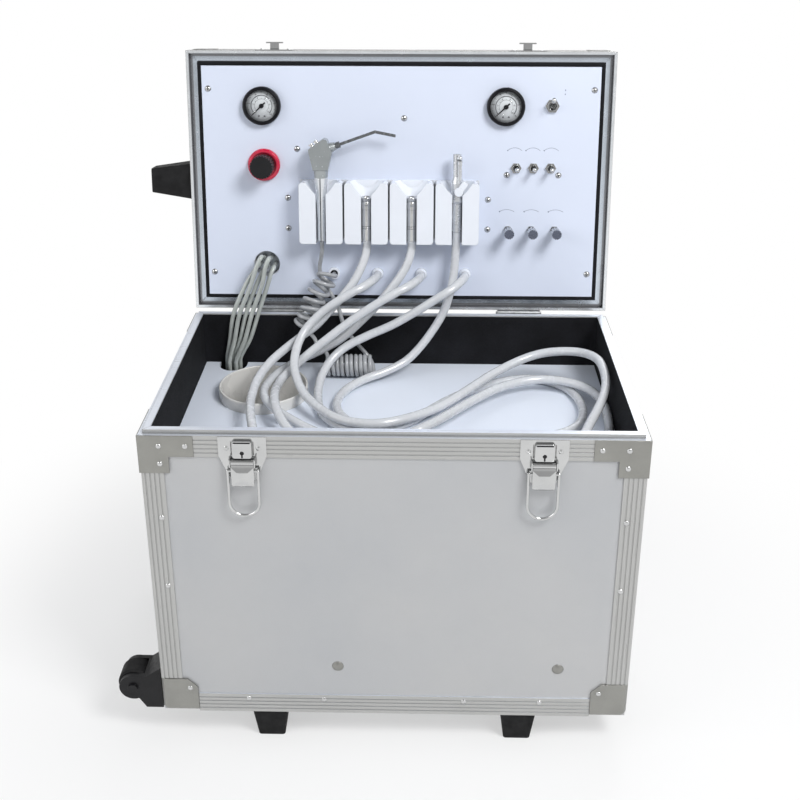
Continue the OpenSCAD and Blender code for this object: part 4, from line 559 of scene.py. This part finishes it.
for turn, spots in (
        ((math.radians(90), 0, 0),
         [(side * (CASE_HALF_W - n), CASE_DEEP + out if back else -out, z)
          for side in (-1, 1) for back in (False, True)
          for out, row in ((PLATE_OUT, (*ON_PLATES, CAP_RIVET)), (0, (*ON_PROFILES, *FOOT_RIVETS)))
          for n, z in row]),
        ((0, math.radians(90), 0),
         [(side * (CASE_HALF_W + out), CASE_DEEP - n if back else n, z)
          for side in (-1, 1) for back in (False, True)
          for out, row in ((PLATE_OUT, ON_PLATES), (0, ON_PROFILES)) for n, z in row])):
    mesh.from_mesh(riveter.grow({"Radius": RIVET_R, "Flatness": RIVET_H / RIVET_R, "Turn": turn,
                                 "Finish": chrome.material}, [case(*spot) for spot in spots]))
for face in mesh.faces:
    face.smooth = True
fitting("rivet_heads", mesh, chrome, "base")

# ---------------------------------------------------------------- panel screws
# Cross-head screws of polished steel, with painted shade, nearly black, in the crosses.
screw = Finish("polished screw", (0.50, 0.505, 0.51), 0.14, 1.0)
# Painted shade: the crosses and corners round the heads are darkened almost to black.
screw.tint(screw.noise(600, 3), 0.85, 1.1).paint_crease_shade(0.0026, 0.03)
screw.gloss(screw.noise(300, 3), 0.08, 0.22).rounded(0.0003)
screw.put("panel_screws")

# ---------------------------------------------------------------- syringe
# The three-way syringe's body and bent nozzle: satin chrome on brass. The handle below the head
# has a painted reflection: a much lighter colour and a dark line down its front.
satin = Finish("satin chrome", (0.36, 0.385, 0.39), 0.22, 0.55)
satin.tint(satin.noise(60, 3), 0.94, 1.05)
from_painted_streak = satin.math("ABSOLUTE", satin.math("SUBTRACT", satin.axis("X"),
                                           (HOLDERS[0] + CASE_X - 0.6) / 1000))
# Painted reflection: the handle below the head gets a much lighter colour in place of the bright
# reflections on it.
below_head = satin.math("LESS_THAN", satin.axis("Z"), panel(0, 160, 0).z)
satin.overlay(below_head, (0.72, 0.74, 0.76))
# Painted reflection: a dark line down the front of the handle stands in for the dark reflection
# seen there.
satin.overlay(satin.math("MULTIPLY", satin.math("LESS_THAN", from_painted_streak, 0.0006), below_head),
              (0.06, 0.065, 0.07))
# Painted shade in corners and creases.
satin.paint_crease_shade(0.0014, 0.3)
satin.gloss(satin.noise(300, 3), 0.14, 0.28).rounded(0.0005).bump(satin.noise(700, 2), 0.00003, 0.2)
satin.put("syringe_body")
dull = Finish("dull chrome", (0.15, 0.158, 0.162), 0.24, 0.6)
# Painted shade: corners and creases are darkened.
dull.tint(dull.noise(90, 3), 0.9, 1.08).paint_crease_shade(0.0014, 0.4)
dull.gloss(dull.noise(300, 3), 0.18, 0.32).rounded(0.0004).bump(dull.noise(700, 2), 0.00003, 0.2)
dull.put("syringe_nozzle")

# ---------------------------------------------------------------- plain steel
# Zinc-plated hinges and the welded frame that carries the machinery, satin, with a cloudy bloom.
steel = Finish("zinc-plated steel", (0.42, 0.43, 0.44), 0.38, 0.9)
steel.tint(steel.add("TexVoronoi", {"Vector": steel.place, "Scale": 160.0}).outputs["Distance"],
           0.86, 1.1)
# Painted shade: corners and creases are darkened.
steel.paint_crease_shade(0.002, 0.3).gloss(steel.noise(300, 3), 0.28, 0.48).rounded(0.0005)
steel.bump(steel.noise(900, 3), 0.00005, 0.4)
steel.put("hinge_base_leaves", "hinge_lid_leaves", "inner_frame")

# ---------------------------------------------------------------- foam liner and lid gasket
# Black closed-cell foam, cut from sheet and glued round the inside of the base and of the lid's
# frame. Its cut edges are rounded and its faces a little wavy.
foam = Finish("closed-cell foam", (0.0055, 0.0058, 0.0075), 0.92, Specular_IOR_Level=0.22)
cells = foam.add("TexVoronoi", {"Vector": foam.place, "Scale": 850.0}).outputs["Distance"]
foam.tint(foam.noise(30, 4), 0.7, 1.5).gloss(cells, 0.95, 0.8)
foam.bump(cells, 0.0003, 0.8).bump(foam.noise(40, 3), 0.0004, 0.3)
FOAM_EDGE_R, FOAM_WAVE = 1.1, 0.18


def soft_frame(name, near, far, low, high, spot, node, body):
    """A mitred frame of foam strip: near to far in from the case's edge, low to high across."""
    r, turned_by = FOAM_EDGE_R, [math.radians(30 * i) for i in range(4)]
    section = []
    for n, h, start in ((far - r, high - r, 0), (near + r, high - r, 90),
                        (near + r, low + r, 180), (far - r, low + r, 270)):
        section += [(n + r * math.cos(math.radians(start) + a),
                     h + r * math.sin(math.radians(start) + a)) for a in turned_by]
    rows = max(1, round((high - low) / 6))
    inner = [(far, low + r + (high - low - 2 * r) * k / rows) for k in range(1, rows)]
    section += inner
    mesh = bmesh.new()
    rings = []
    corners = ((-1, 0), (1, 0), (1, 1), (-1, 1))
    for i, (side, top) in enumerate(corners):
        next_side, next_top = corners[(i + 1) % 4]
        for k in range(40):
            t, ring = k / 40, []
            for n, h in section:
                if n > near + r:
                    n -= FOAM_WAVE * (0.5 + 0.5 * noise.noise(Vector((9 * (i + t), h / 14, n))))
                a = (side * (CASE_HALF_W - n), CASE_DEEP - n if top else n)
                b = (next_side * (CASE_HALF_W - n), CASE_DEEP - n if next_top else n)
                ring.append(mesh.verts.new(spot(a[0] + (b[0] - a[0]) * t,
                                                a[1] + (b[1] - a[1]) * t, h)))
            rings.append(ring)
    for ring, after in zip(rings, rings[1:] + rings[:1]):
        for s in range(len(section)):
            e = (s + 1) % len(section)
            mesh.faces.new((ring[s], ring[e], after[e], after[s])).smooth = True
    made = solid(name, mesh)
    foam.put(made)
    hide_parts(node)
    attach(made, body)


soft_frame("foam_lining", 7.4, 10.6, 287, 363.4, case, "foam_liner", "base")
soft_frame("lid_seal", 12.2, 16.4, -6, 0.2, lambda u, v, h: panel(u, v, -h), "lid_gasket", "lid")

# ---------------------------------------------------------------- deck
# The white plastic deck that closes the base, with the opening for the cup and the tube notch.
shelf = Finish("white deck", (0.76, 0.81, 0.90), 0.33)
# Painted shade: the deck's own corners and the edges of its openings are darkened.
shelf.tint(shelf.noise(6, 2), 0.98, 1.01).paint_crease_shade(0.004, 0.75)
shelf.gloss(shelf.noise(30, 2), 0.3, 0.36).rounded(0.0006)
shelf.bump(shelf.noise(900, 2), 0.00002, 0.15)
shelf.put("deck_board")

# ---------------------------------------------------------------- rinse cup
# Ivory polypropylene cup, moulded in one piece, that hangs by its step in the deck. Its wall
# narrows to a rounded bottom, and the rim is rounded and polished by use.
ivory = Finish("ivory plastic", (0.70, 0.69, 0.665), 0.26, Coat_Weight=0.5, Coat_Roughness=0.12)
ivory.tint(ivory.noise(12, 2), 0.98, 1.02)
ivory.gloss(ivory.noise(60, 2), 0.22, 0.32).bump(ivory.noise(900, 2), 0.00002, 0.15)
CUP_SPOT = Matrix.Translation(case(-150, 201.5, DECK_Z))
CUP_LINE = ((0, -70), (28, -70), (35, -69.2), (40, -66), (42.4, -60), (44.4, -35), (45.8, -8),
            (46, -1), (46.2, -0.1), (49.3, 0.1), (49.5, 0.6), (49.5, 10.6), (49.3, 11.9),
            (48.8, 12.7), (48.2, 13), (47.6, 12.8), (47.1, 12.2), (46.9, 11), (46.2, 6),
            (45, 0), (44.2, -4), (43.3, -12), (42, -35), (40, -58), (37.8, -63.4), (34, -66.2),
            (27, -67.5), (0, -67.8))


def turned(mesh, line, place, sides):
    """A body turned round the Z axis of a place, from a line of (radius, height) in mm."""
    rings = []
    for r, h in line:
        count = sides if r else 1
        rings.append([mesh.verts.new(place @ (Vector((
            r * math.cos(math.tau * k / sides), r * math.sin(math.tau * k / sides), h)) / 1000))
            for k in range(count)])
    for ring, after in zip(rings, rings[1:]):
        for k in range(sides):
            n = (k + 1) % sides
            if len(ring) == 1:
                corners = (ring[0], after[n], after[k])
            elif len(after) == 1:
                corners = (ring[k], ring[n], after[0])
            else:
                corners = (ring[k], ring[n], after[n], after[k])
            mesh.faces.new(corners).smooth = True
    if line[0][0] and line[-1] != line[0]:
        for k in range(sides):
            n = (k + 1) % sides
            mesh.faces.new((rings[-1][k], rings[-1][n], rings[0][n], rings[0][k])).smooth = True


mesh = bmesh.new()
turned(mesh, CUP_LINE, CUP_SPOT, 128)
cup = solid("cup", mesh)
ivory.put(cup)
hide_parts("rinse_cup")
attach(cup, "base")

# ---------------------------------------------------------------- painted shade in the latches' keyholes
# A nearly black disc behind each keyhole, and black strips in the keyhole and in the slot over it:
# painted shade in these openings.
# Painted shade: near-black stand-ins for the shade inside the keyholes and the slots.
keyhole_shade = Finish("painted keyhole shade", (0.008, 0.008, 0.009), 0.5)
keyhole_shade.tint(keyhole_shade.noise(400, 2), 0.8, 1.4).gloss(keyhole_shade.noise(300, 2), 0.42, 0.6)
LATCH_X, KEYHOLE_SHADE_Y, KEYHOLE_Z = 141.5, -2.6, 345.2
mesh = bmesh.new()
for x in (-LATCH_X, LATCH_X):
    facing_out = Matrix.Translation(case(x, KEYHOLE_SHADE_Y, KEYHOLE_Z)) @ Matrix.Rotation(
        math.radians(90), 4, "X")
    turned(mesh, ((0, -0.2), (1.9, -0.2), (1.9, 0.45), (1.7, 0.6), (0, 0.6)), facing_out, 24)
    for wide, tall, low in ((1.3, 4.9, 340.3), (15.8, 1.3, 354.75)):
        bar = bmesh.ops.create_cube(mesh, matrix=Matrix.Translation(
            case(x, KEYHOLE_SHADE_Y - 0.1, low + tall / 2)) @ Matrix.Diagonal(
                (wide / 1000, 0.0006, tall / 1000, 1)))
        bmesh.ops.bevel(mesh, geom=[e for e in mesh.edges if e.verts[0] in bar["verts"]
                                    and e.verts[1] in bar["verts"]], offset=0.0002, segments=2,
                        affect="EDGES")
fitting("latch_locks", mesh, keyhole_shade, "base")

# ---------------------------------------------------------------- rubber feet and wheels
# Moulded black rubber, matt, with a little dust rubbed into it.
rubber = Finish("black rubber", (0.006, 0.006, 0.0065), 0.7, Specular_IOR_Level=0.25)
rubber.tint(rubber.noise(70, 5), 0.75, 1.6).gloss(rubber.noise(120, 4), 0.6, 0.85).rounded(0.0008)
rubber.bump(rubber.noise(1200, 2), 0.0001, 0.5)
rubber.put("rubber_feet", "wheel_front", "wheel_rear", "side_foot")

# ---------------------------------------------------------------- black plastic parts
# Injection-moulded black plastic with a fine spark-eroded grain.
moulded = Finish("black moulding", (0.006, 0.006, 0.007), 0.42, Specular_IOR_Level=0.3)
moulded.tint(moulded.noise(60, 3), 0.85, 1.3).gloss(moulded.noise(300, 3), 0.34, 0.52)
moulded.rounded(0.0006).bump(moulded.noise(2200, 2), 0.00005, 0.5)
moulded.put("wheel_brackets", "carry_handle", "rear_services", "fan_rotor", "regulator_knob",
            "gauge_needle_left", "gauge_needle_right")

# ---------------------------------------------------------------- control panel
# Folded sheet steel with a bluish white powder coat, whose skin has a slight orange peel.
coat = Finish("powder coat", (0.65, 0.70, 0.82), 0.5)
# Painted shade: corners and creases are darkened.
coat.tint(coat.noise(4, 4), 0.97, 1.02).paint_crease_shade(0.003, 0.6).gloss(coat.noise(80, 4), 0.42, 0.58)
coat.rounded(0.0005).bump(coat.noise(650, 2), 0.00008, 0.4)
coat.put("control_panel")

# ---------------------------------------------------------------- pressure gauges
# Two 40 mm gauges: black bezels, a pale card with printed ticks, numbers and a grey band, and a
# flat glass pressed in over the needle.
GAUGES_U, GAUGES_V = (-156, 118), 235.5
CARD_OUT, CARD_R, GLASS_OUT = 4.72, 17.3, 7.6
DIAL_START, DIAL_SWEEP = -133, 266
bezel = Finish("gauge bezel", (0.0045, 0.0045, 0.006), 0.34, Specular_IOR_Level=0.2)
bezel.tint(bezel.noise(60, 3), 0.85, 1.2).gloss(bezel.noise(200, 3), 0.28, 0.4).rounded(0.0006)
bezel.put("gauge_cases")
card = Finish("dial card", (0.74, 0.77, 0.79), 0.55)
card.tint(card.noise(200, 3), 0.97, 1.03).gloss(card.noise(500, 2), 0.5, 0.62)
print_black = Finish("black print", (0.012, 0.012, 0.014), 0.5)
print_black.tint(print_black.noise(900, 2), 0.8, 1.5)
print_grey = Finish("grey print", (0.16, 0.17, 0.18), 0.5)
print_grey.tint(print_grey.noise(900, 2), 0.93, 1.07)
glass = Finish("gauge glass", (0.05, 0.05, 0.06), 0.02, Alpha=0.05, Specular_IOR_Level=0.5)
glass.gloss(glass.noise(40, 2), 0.015, 0.03)


def on_panel(u, v, out=0.0):
    """The place of a fitting on the panel: X across, Y up the lid, Z out towards the user."""
    axes = Matrix((Vector((1, 0, 0)), LID_UP, LID_OUT)).transposed().to_4x4()
    return Matrix.Translation(panel(u, v, -out)) @ axes


def sector(mesh, place, r0, r1, start, sweep, out0, out1, count):
    """A flat ring, or a part of one, with closed ends; angles turn clockwise from up."""
    rows = []
    for k in range(count + 1):
        a = math.radians(start + sweep * k / count)
        rows.append([mesh.verts.new(place @ (Vector((r * math.sin(a), r * math.cos(a), h)) / 1000))
                     for r, h in ((r0, out0), (r1, out0), (r1, out1), (r0, out1))])
    for row, after in zip(rows, rows[1:]):
        for s in range(4):
            mesh.faces.new((row[s], row[(s + 1) % 4], after[(s + 1) % 4], after[s]))
    if sweep < 360:
        mesh.faces.new(rows[0])
        mesh.faces.new(rows[-1][::-1])
    else:
        bmesh.ops.remove_doubles(mesh, verts=mesh.verts, dist=1e-7)


mesh = bmesh.new()
for u in GAUGES_U:
    turned(mesh, ((0, 0), (CARD_R, 0), (CARD_R, 0.1), (0, 0.1)),
           on_panel(u, GAUGES_V, CARD_OUT - 0.1), 64)
fitting("gauge_cards", mesh, card)

mesh = bmesh.new()
for u in GAUGES_U:
    sector(mesh, on_panel(u, GAUGES_V, CARD_OUT), 11.2, 12.3, DIAL_START, DIAL_SWEEP, 0, 0.06, 60)
    sector(mesh, on_panel(u, GAUGES_V, CARD_OUT), 7.6, 7.9, DIAL_START, DIAL_SWEEP, 0, 0.06, 60)
    for side in (-1, 1):
        turned(mesh, ((0, 0), (1.15, 0), (1.15, 0.06), (0, 0.06)),
               on_panel(u + side * 3.2, GAUGES_V - 11.3, CARD_OUT), 16)
fitting("gauge_bands", mesh, print_grey)

mesh = bmesh.new()
for u in GAUGES_U:
    turned(mesh, ((0, 0), (CARD_R + 0.1, 0), (CARD_R + 0.1, 0.8), (0, 0.8)),
           on_panel(u, GAUGES_V, GLASS_OUT), 64)
fitting("gauge_glasses", mesh, glass)


dial_ticks = Grower("dial ticks", (("Count", "Int"), ("Start", "Float"), ("Sweep", "Float"),
                                   ("Radius", "Float"), ("Tick size", "Vector"),
                                   ("Finish", "Material")))
calc, given = dial_ticks.calc, dial_ticks.given
share = calc("DIVIDE", dial_ticks.node("GeometryNodeInputIndex", {})[0],
             calc("SUBTRACT", given["Count"], 1.0))
angle = calc("ADD", given["Start"], calc("MULTIPLY", given["Sweep"], share))
arc = dial_ticks.node("ShaderNodeCombineXYZ", {
    "X": calc("MULTIPLY", given["Radius"], calc("SINE", angle)),
    "Y": calc("MULTIPLY", given["Radius"], calc("COSINE", angle))})[0]
row = dial_ticks.node("GeometryNodeMeshLine", {"Count": given["Count"]})[0]
bent = dial_ticks.node("GeometryNodeSetPosition", {"Geometry": row, "Position": arc})[0]
block = dial_ticks.node("GeometryNodeMeshCube", {"Size": given["Tick size"]})[0]
dial_ticks.sow(bent, block, dial_ticks.node(
    "ShaderNodeCombineXYZ", {"Z": calc("MULTIPLY", angle, -1.0)})[0])


def ticks(place, count, radius, size):
    """The mesh of one row of ticks over the dial's sweep, at its place, in metres."""
    made = dial_ticks.grow({"Count": count, "Start": math.radians(DIAL_START),
                            "Sweep": math.radians(DIAL_SWEEP), "Radius": radius / 1000,
                            "Tick size": [s / 1000 for s in size],
                            "Finish": print_black.material})
    made.transform(place)
    return made


def number(text, size, place):
    """The mesh of a number, centred on its place and raised by a film of print."""
    curve = bpy.data.curves.new("number", "FONT")
    curve.body, curve.size, curve.extrude = text, size / 1000, 0.00003
    curve.align_x, curve.align_y = "CENTER", "CENTER"
    carrier = bpy.data.objects.new("number", curve)
    bpy.context.scene.collection.objects.link(carrier)
    bpy.context.view_layer.update()
    made = bpy.data.meshes.new_from_object(
        carrier.evaluated_get(bpy.context.evaluated_depsgraph_get()))
    bpy.data.objects.remove(carrier)
    made.transform(place)
    return made


mesh = bmesh.new()
for u in GAUGES_U:
    face = on_panel(u, GAUGES_V, CARD_OUT + 0.03)
    rows = [ticks(face, 51, 16.3, (0.22, 1.2, 0.06)), ticks(face, 11, 15.8, (0.45, 2.2, 0.06)),
            ticks(face, 11, 8.4, (0.3, 1.0, 0.06))]
    for k in range(6):
        a = math.radians(DIAL_START + DIAL_SWEEP * k / 5)
        for text, r, size in ((str(2 * k), 9.6, 2.5), (str(30 * k), 13.7, 2.1)):
            rows.append(number(text, size, on_panel(
                u + r * math.sin(a), GAUGES_V + r * math.cos(a), CARD_OUT + 0.03)))
    for row in rows:
        mesh.from_mesh(row)
fitting("gauge_marks", mesh, print_black)

# ---------------------------------------------------------------- marks printed on the panel
# Blue-grey screen print: a plain arc with a small tip over each valve, and two ticks by the switch.
ink = Finish("blue-grey print", (0.20, 0.235, 0.33), 0.5)
ink.tint(ink.noise(1200, 2), 0.85, 1.15)
mesh = bmesh.new()
for us, v_top, r, spread in (((129.4, 150.0, 170.6), 189.8, 12.1, 44),
                             ((122.1, 150.2, 177.9), 119.1, 16.0, 33)):
    for u in us:
        centre = on_panel(u, v_top - r)
        sector(mesh, centre, r - 0.5, r, -spread, 2 * spread, 0, 0.06, 20)
        sector(mesh, centre, r - 1.0, r + 0.5, -spread - 1, 5, 0, 0.06, 2)
for v in (250, 254.5):
    sector(mesh, on_panel(184, v - 10), 8.6, 10.2, -3.4, 6.8, 0, 0.06, 2)
fitting("panel_marks", mesh, ink)

# ---------------------------------------------------------------- holders and outlets
# Glossy white ABS holders in one row with the hose outlets under them. A tapered cuff takes the
# strain of each hose, and a thin black ring paints the shade in the opening the coiled tube goes
# into.
abs_white = Finish("glossy white", (0.78, 0.81, 0.87), 0.14, Coat_Weight=0.5, Coat_Roughness=0.05)
# Painted shade: corners and creases of the holders are darkened.
abs_white.tint(abs_white.noise(20, 3), 0.98, 1.02).paint_crease_shade(0.003, 0.4)
abs_white.gloss(abs_white.noise(160, 4), 0.11, 0.22)
abs_white.rounded(0.001).bump(abs_white.noise(90, 2), 0.00006, 0.15)
abs_white.put("instrument_holders", "hose_outlets", "suction_lever")
mesh = bmesh.new()
for u in OUTLETS[1:]:
    turned(mesh, ((6.8, 3.9), (6.6, 4.6), (5.6, 6.4), (5.05, 8.4), (4.7, 8.4), (4.7, 3.9)),
           on_panel(u, OUTLETS_V), 40)
fitting("outlet_cuffs", mesh, abs_white)
# Painted shade: a thin black ring at the first outlet stands in for the shade inside its opening.
mesh = bmesh.new()
turned(mesh, ((4.4, 3.95), (4.4, 4.2), (2.4, 4.2), (2.4, 3.95)),
       on_panel(OUTLETS[0], OUTLETS_V), 32)
fitting("coil_mouth", mesh, bezel)

# ---------------------------------------------------------------- couplings of the free connectors
# The knurled chrome nut and flared collar at the top of each empty handpiece connector.
mesh = bmesh.new()
upright = Matrix.Rotation(math.radians(-90), 4, "X")
for u in HOLDERS[1:3]:
    turned(mesh, ((5.05, -5), (5.6, -4.6), (5.6, -0.4), (5.2, 0), (5.2, 1), (6.9, 3.4),
                  (7.5, 4), (7.5, 4.9), (7.1, 5.4), (4.4, 5.4), (4.4, 1), (5.05, 1)),
           on_panel(u, 130, 17) @ upright, 40)
fitting("connector_collars", mesh, chrome)

# ---------------------------------------------------------------- needle valve knobs
# Turned aluminium knobs with a fluted skirt; a grey cap is pressed into the face of each.
skirt = Finish("fluted skirt", (0.52, 0.54, 0.57), 0.24, 0.85)
skirt.tint(skirt.noise(80, 3), 0.92, 1.06)
face_on = skirt.dot(skirt.facing, LID_OUT)
skirt.overlay(skirt.math("GREATER_THAN", face_on, 0.9), (0.14, 0.155, 0.205))
# Painted shade: corners and the flutes are darkened.
skirt.paint_crease_shade(0.0014, 0.2).gloss(skirt.noise(300, 3), 0.2, 0.34).rounded(0.0004)
skirt.put("needle_knob_1", "needle_knob_2", "needle_knob_3")

# ---------------------------------------------------------------- suction handle
# The saliva ejector's handle, satin aluminium, with a white lever for its slide valve.
handle = Finish("satin aluminium", (0.62, 0.635, 0.655), 0.22, 0.7)
# Painted shade: corners and creases are darkened.
handle.tint(handle.noise(80, 3), 0.95, 1.05).paint_crease_shade(0.0016, 0.35)
handle.gloss(handle.noise(300, 3), 0.16, 0.3).rounded(0.0005)
handle.bump(handle.noise(900, 2), 0.00003, 0.2)
handle.put("suction_handle")

# ---------------------------------------------------------------- regulator ring
# The crimson ring nut that clamps the air regulator to the panel, moulded and glossy.
red = Finish("crimson ring", (0.56, 0.008, 0.045), 0.2, Coat_Weight=0.4, Coat_Roughness=0.08)
# Painted shade: corners and creases are darkened.
red.tint(red.noise(120, 3), 0.85, 1.15).paint_crease_shade(0.002, 0.4)
red.gloss(red.noise(300, 3), 0.14, 0.26).rounded(0.0005)
red.put("regulator_body")

# ---------------------------------------------------------------- machinery in the base
# The oil-free compressor in hammered grey paint, the welded tank and the polyethylene bottles.
paint = Finish("machine paint", (0.26, 0.28, 0.30), 0.36, Coat_Weight=0.3)
dents = paint.add("TexVoronoi", {"Vector": paint.place, "Scale": 260.0},
                  feature="SMOOTH_F1").outputs["Distance"]
paint.tint(dents, 0.85, 1.15).gloss(paint.noise(150, 3), 0.28, 0.46).rounded(0.0008)
paint.bump(dents, 0.0002, 0.4)
paint.put("compressor", "air_tank")
bottle = Finish("bottle plastic", (0.70, 0.71, 0.70), 0.38, Subsurface_Weight=0.15)
bottle.tint(bottle.noise(30, 3), 0.94, 1.03).gloss(bottle.noise(200, 3), 0.3, 0.5).rounded(0.001)
bottle.bump(bottle.noise(300, 2), 0.0001, 0.3)
bottle.put("bottles")

# ---------------------------------------------------------------- floor, lamps and white ground
# A plain white floor that keeps the unit's soft shadow and fades to the white ground, two large
# soft lamps, the main one high on the right, and an even light all round.
ground = bmesh.new()
bmesh.ops.create_circle(ground, cap_ends=True, segments=96, radius=12)
floor = solid("floor", ground)
floor.location = (0, 0, -0.0002)
paper = Finish("white ground", (0.82, 0.82, 0.82), 0.9)
paper.tint(paper.noise(2, 2), 0.99, 1.0)
seen = paper.add("LightPath").outputs
white_rays = paper.math("MAXIMUM", paper.math("MAXIMUM", seen["Is Camera Ray"],
                                              seen["Is Glossy Ray"]), seen["Is Transmission Ray"])
away = paper.add("VectorMath", {0: paper.place}, operation="LENGTH").outputs["Value"]
fade = paper.add("MapRange", {"Value": away, "From Min": 0.28, "From Max": 0.7, "To Min": 0.5,
                              "To Max": 1.0}, interpolation_type="SMOOTHSTEP").outputs["Result"]
glow = paper.add("Emission", {"Color": (1, 1, 1, 1), "Strength": 1.0})
blend = paper.add("MixShader", {"Fac": paper.math("MULTIPLY", white_rays, fade)})
paper.links.new(paper.shader.outputs[0], blend.inputs[1])
paper.links.new(glow.outputs[0], blend.inputs[2])
paper.links.new(blend.outputs[0], paper.nodes["Material Output"].inputs["Surface"])
paper.put(floor)

world = bpy.data.worlds.new("studio")
bpy.context.scene.world = world
world.use_nodes = True
sky = world.node_tree
sky.nodes.clear()


def sky_node(kind, inputs, **settings):
    return add_node(sky, "ShaderNode" + kind, inputs, **settings)


rays = sky_node("LightPath", {}).outputs
sight = sky_node("TexCoord", {}).outputs["Generated"]
toward = sky_node("SeparateXYZ", {"Vector": sight}).outputs
overhead = sky_node("MapRange", {"Value": toward["Z"], "From Min": 0.5, "From Max": 0.85,
                                 "To Max": 0.72}, interpolation_type="SMOOTHSTEP").outputs[0]
room = sky_node("MapRange", {"Value": toward["Y"], "From Min": -0.72, "From Max": -0.93,
                             "To Max": 0.5}, interpolation_type="SMOOTHSTEP").outputs[0]
darker = sky_node("Math", {0: overhead, 1: room}, operation="MAXIMUM").outputs[0]
glossy = sky_node("Math", {0: darker, 1: rays["Is Glossy Ray"]}, operation="MULTIPLY").outputs[0]
shown = sky_node("Math", {0: 1.0, 1: glossy}, operation="SUBTRACT").outputs[0]
mirrored = sky_node("Math", {0: rays["Is Glossy Ray"], 1: rays["Is Transmission Ray"]},
                    operation="MAXIMUM").outputs[0]
plain_white = sky_node("Math", {0: rays["Is Camera Ray"], 1: mirrored},
                       operation="MAXIMUM").outputs[0]
even = sky_node("Background", {"Color": (0.95, 0.97, 1, 1), "Strength": 0.46}).outputs[0]
white = sky_node("Background", {"Color": (1, 1, 1, 1), "Strength": shown}).outputs[0]
mixed = sky_node("MixShader", {"Fac": plain_white, 1: even, 2: white}).outputs[0]
sky_node("OutputWorld", {"Surface": mixed})

AIM = Vector((0.0155, 0, 0.3))
for name, spot, size, watts in (("main lamp", (1.0, -1.1, 1.9), 0.7, 34),
                                ("fill lamp", (-1.5, -0.9, 1.2), 1.3, 9),
                                ("back lamp", (0.4, 1.6, 1.7), 1.2, 12)):
    lamp = bpy.data.objects.new(name, bpy.data.lights.new(name, "AREA"))
    bpy.context.scene.collection.objects.link(lamp)
    lamp.data.size, lamp.data.energy = size, watts
    lamp.location = spot
    lamp.rotation_euler = (AIM - Vector(spot)).to_track_quat("-Z", "Y").to_euler()

bpy.context.scene.view_settings.view_transform = "Standard"
